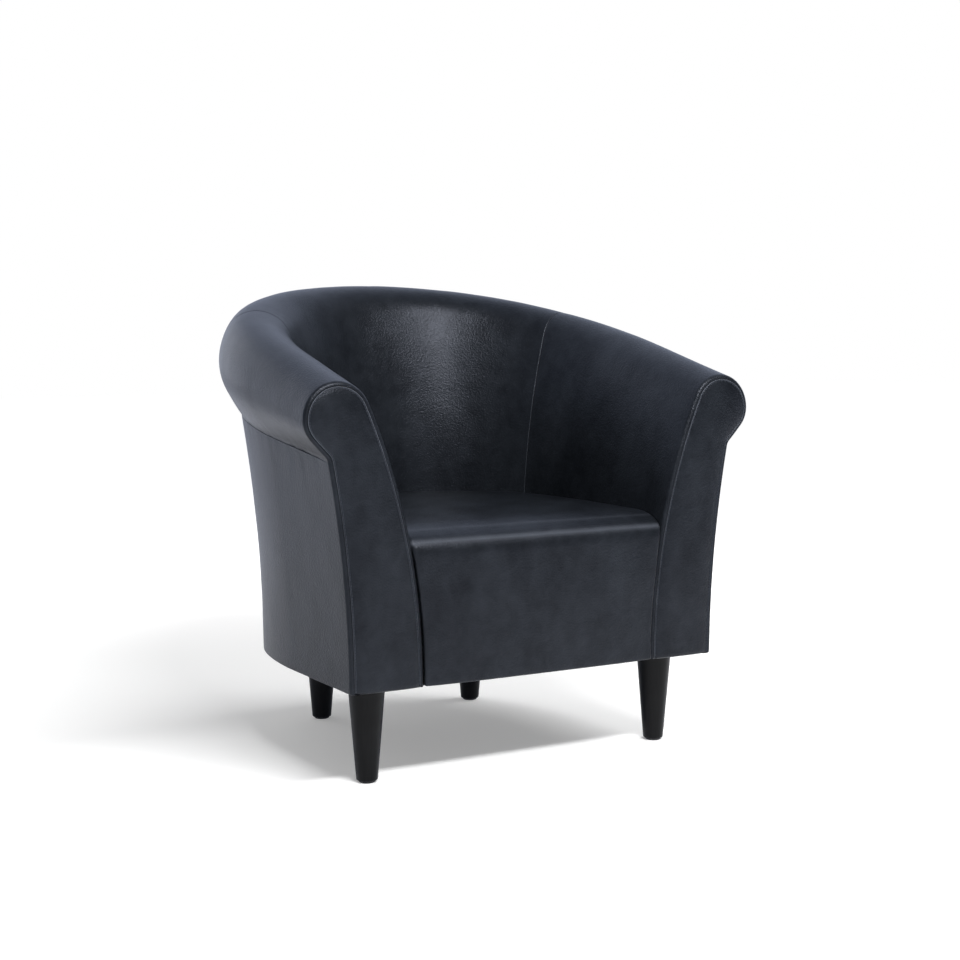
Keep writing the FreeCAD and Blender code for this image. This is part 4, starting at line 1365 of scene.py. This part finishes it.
def base_staples():
    """The staples that hold the cloth under the base."""
    points = []
    for distance in spread(STAPLE_FROM, WALL_LENGTH, 80):
        x, behind, out_x, out_y = plan(distance, DUST_IN + STAPLE_IN)
        points.append((x, behind, -0.3))
    around = points + [(-x, behind, up) for x, behind, up in reversed(points[:-1])]
    sizes = {"Pitch": STAPLE_PITCH, "Length": STAPLE_WIDTH, "Radius": STAPLE_WIRE, "Rise": 0.1}
    row = wire_row("base_staples", around, (0.0, 0.0, -1.0), STEEL, **sizes)
    belongs(row, "steel")


# Finishes of the pieces that keep their CAD shape


def dress_frame():
    """Gives every CAD node that stays its material."""
    finishes = (
        ("leg_", LEG_WOOD),
        ("foot_glides", PLASTIC),
        ("seat_springs", STEEL),
        ("spring_clips", STEEL),
        ("hanger_bolts", STEEL),
        ("t_nuts", STEEL),
        ("deck_cloth", CLOTH_BLACK),
        ("arm_inner_board", HARDBOARD),
        ("back_inner_board", HARDBOARD),
        ("arm_outer_board", GREY_BOARD),
        ("back_outer_board", GREY_BOARD),
    )
    for name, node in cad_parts.items():
        material = PLYWOOD
        for start, finish in finishes:
            if name.startswith(start):
                material = finish
        node.data.materials.clear()
        node.data.materials.append(material)


# Studio


def mirror_tint(tree, tint):
    """The kinds of rays, which of them something mirrors, and white with a tint for those."""
    rays = add(tree, "ShaderNodeLightPath").outputs
    kinds = [(0, rays["Is Glossy Ray"]), (1, rays["Is Transmission Ray"])]
    mirrored_ray = add(tree, "ShaderNodeMath", kinds, operation="ADD")
    shades = [("Factor", mirrored_ray), ("A", linear("#ffffff")), ("B", linear(tint))]
    return rays, mirrored_ray, add(tree, "ShaderNodeMix", shades, data_type="RGBA")


def studio_floor():
    """A white floor that keeps the chair's shadow; it glows a little where it is seen or mirrored."""
    ways = ((-1, -1), (1, -1), (1, 1), (-1, 1))
    corners = [(FLOOR_REACH * way_x, FLOOR_REACH * way_y, 0.0) for way_x, way_y in ways]
    floor = placed("floor", new_mesh("floor", corners, [(0, 1, 2, 3)]))
    material, tree, place = blank_material("white_studio_paper")
    rays, mirrored_ray, shade = mirror_tint(tree, MIRRORED_FLOOR)
    kinds = [(0, rays["Is Camera Ray"]), (1, mirrored_ray)]
    seen = add(tree, "ShaderNodeMath", kinds, operation="ADD", use_clamp=True)
    away = add(tree, "ShaderNodeVectorMath", [(0, place)], operation="LENGTH")
    reach = [("Value", away), ("From Min", GLOW_FROM), ("From Max", GLOW_TO)]
    glow = [("To Min", FLOOR_GLOW_NEAR), ("To Max", FLOOR_GLOW_FAR)]
    paper = add(tree, "ShaderNodeMapRange", reach + glow, interpolation_type="SMOOTHSTEP")
    light = add(tree, "ShaderNodeMath", [(0, seen), (1, paper)], operation="MULTIPLY")
    looks = [("Base Color", linear("#efefef")), ("Roughness", 0.9), ("Specular IOR Level", 0.1)]
    surfaced(material, [*looks, ("Emission Color", shade), ("Emission Strength", light)])
    floor.data.materials.append(material)


def studio_world():
    """White where it is seen. Mirrored, it is white behind the chair and dimmer in front, where the room is;
    as light it is dimmer all round."""
    world = bpy.data.worlds.new("studio")
    bpy.context.scene.world = world
    world.use_nodes = True
    tree = world.node_tree
    tree.nodes.clear()
    rays, mirrored_ray, shade = mirror_tint(tree, MIRRORED_SHADE)
    way = add(tree, "ShaderNodeTexCoord").outputs["Generated"]
    to_back = add(tree, "ShaderNodeSeparateXYZ", [(0, way)]).outputs["Y"]
    turn = [("Value", to_back), ("From Min", -0.3), ("From Max", 0.6)]
    backdrop = add(tree, "ShaderNodeMapRange", [*turn, ("To Min", ROOM_IN_FRONT), ("To Max", 1.0)])
    unseen = add(tree, "ShaderNodeMix", [("Factor", mirrored_ray), ("A", ROOM_LIGHT), ("B", backdrop)])
    strength = add(tree, "ShaderNodeMix", [("Factor", rays["Is Camera Ray"]), ("A", unseen), ("B", 1.0)])
    white = add(tree, "ShaderNodeBackground", [("Color", shade), ("Strength", strength)])
    add(tree, "ShaderNodeOutputWorld", [("Surface", white)])


def soft_lamp(name, place, aim, size, power, gleams=True):
    """A rectangular lamp of white light. One without gleams isn't mirrored in the leather."""
    data = bpy.data.lights.new(name, "AREA")
    data.shape = "RECTANGLE"
    data.size, data.size_y = size
    data.energy = power
    lamp = placed(name, data)
    lamp.location = place
    lamp.rotation_euler = (Vector(aim) - Vector(place)).to_track_quat("-Z", "Y").to_euler()
    lamp.visible_glossy = gleams


def studio_lamps():
    """One lamp for the shadow, one for the gleam on the back and one for the rim from behind."""
    soft_lamp("right", (2.2, -0.25, 2.45), aim=(0.0, 0.0, 0.2), size=(1.6, 1.6), power=66.0, gleams=False)
    soft_lamp("over_camera", (-0.18, -2.15, 2.45), aim=(0.0, 0.1, 0.5), size=(1.4, 0.3), power=100.0)
    soft_lamp("behind_left", (-1.0, 3.0, 1.3), aim=(-0.3, 0.0, 0.45), size=(2.0, 2.0), power=9.0)


def photo_camera():
    """The camera, where the photo was taken from."""
    data = bpy.data.cameras.new("camera")
    data.sensor_width = 36.0
    data.lens = CAMERA_LENS
    data.clip_end = 100.0
    camera = placed("camera", data)
    camera.location = CAMERA_PLACE
    camera.rotation_euler = Vector(CAMERA_WAY).to_track_quat("-Z", "Y").to_euler()
    bpy.context.scene.camera = camera


photo_camera()
arm_pads()
back_pad()
outside_covers()
facings()
seat_pad()
dust_cover()
facing_stitches()
base_staples()
dress_frame()
studio_floor()
studio_world()
studio_lamps()

bpy.context.scene.view_settings.view_transform = "Standard"
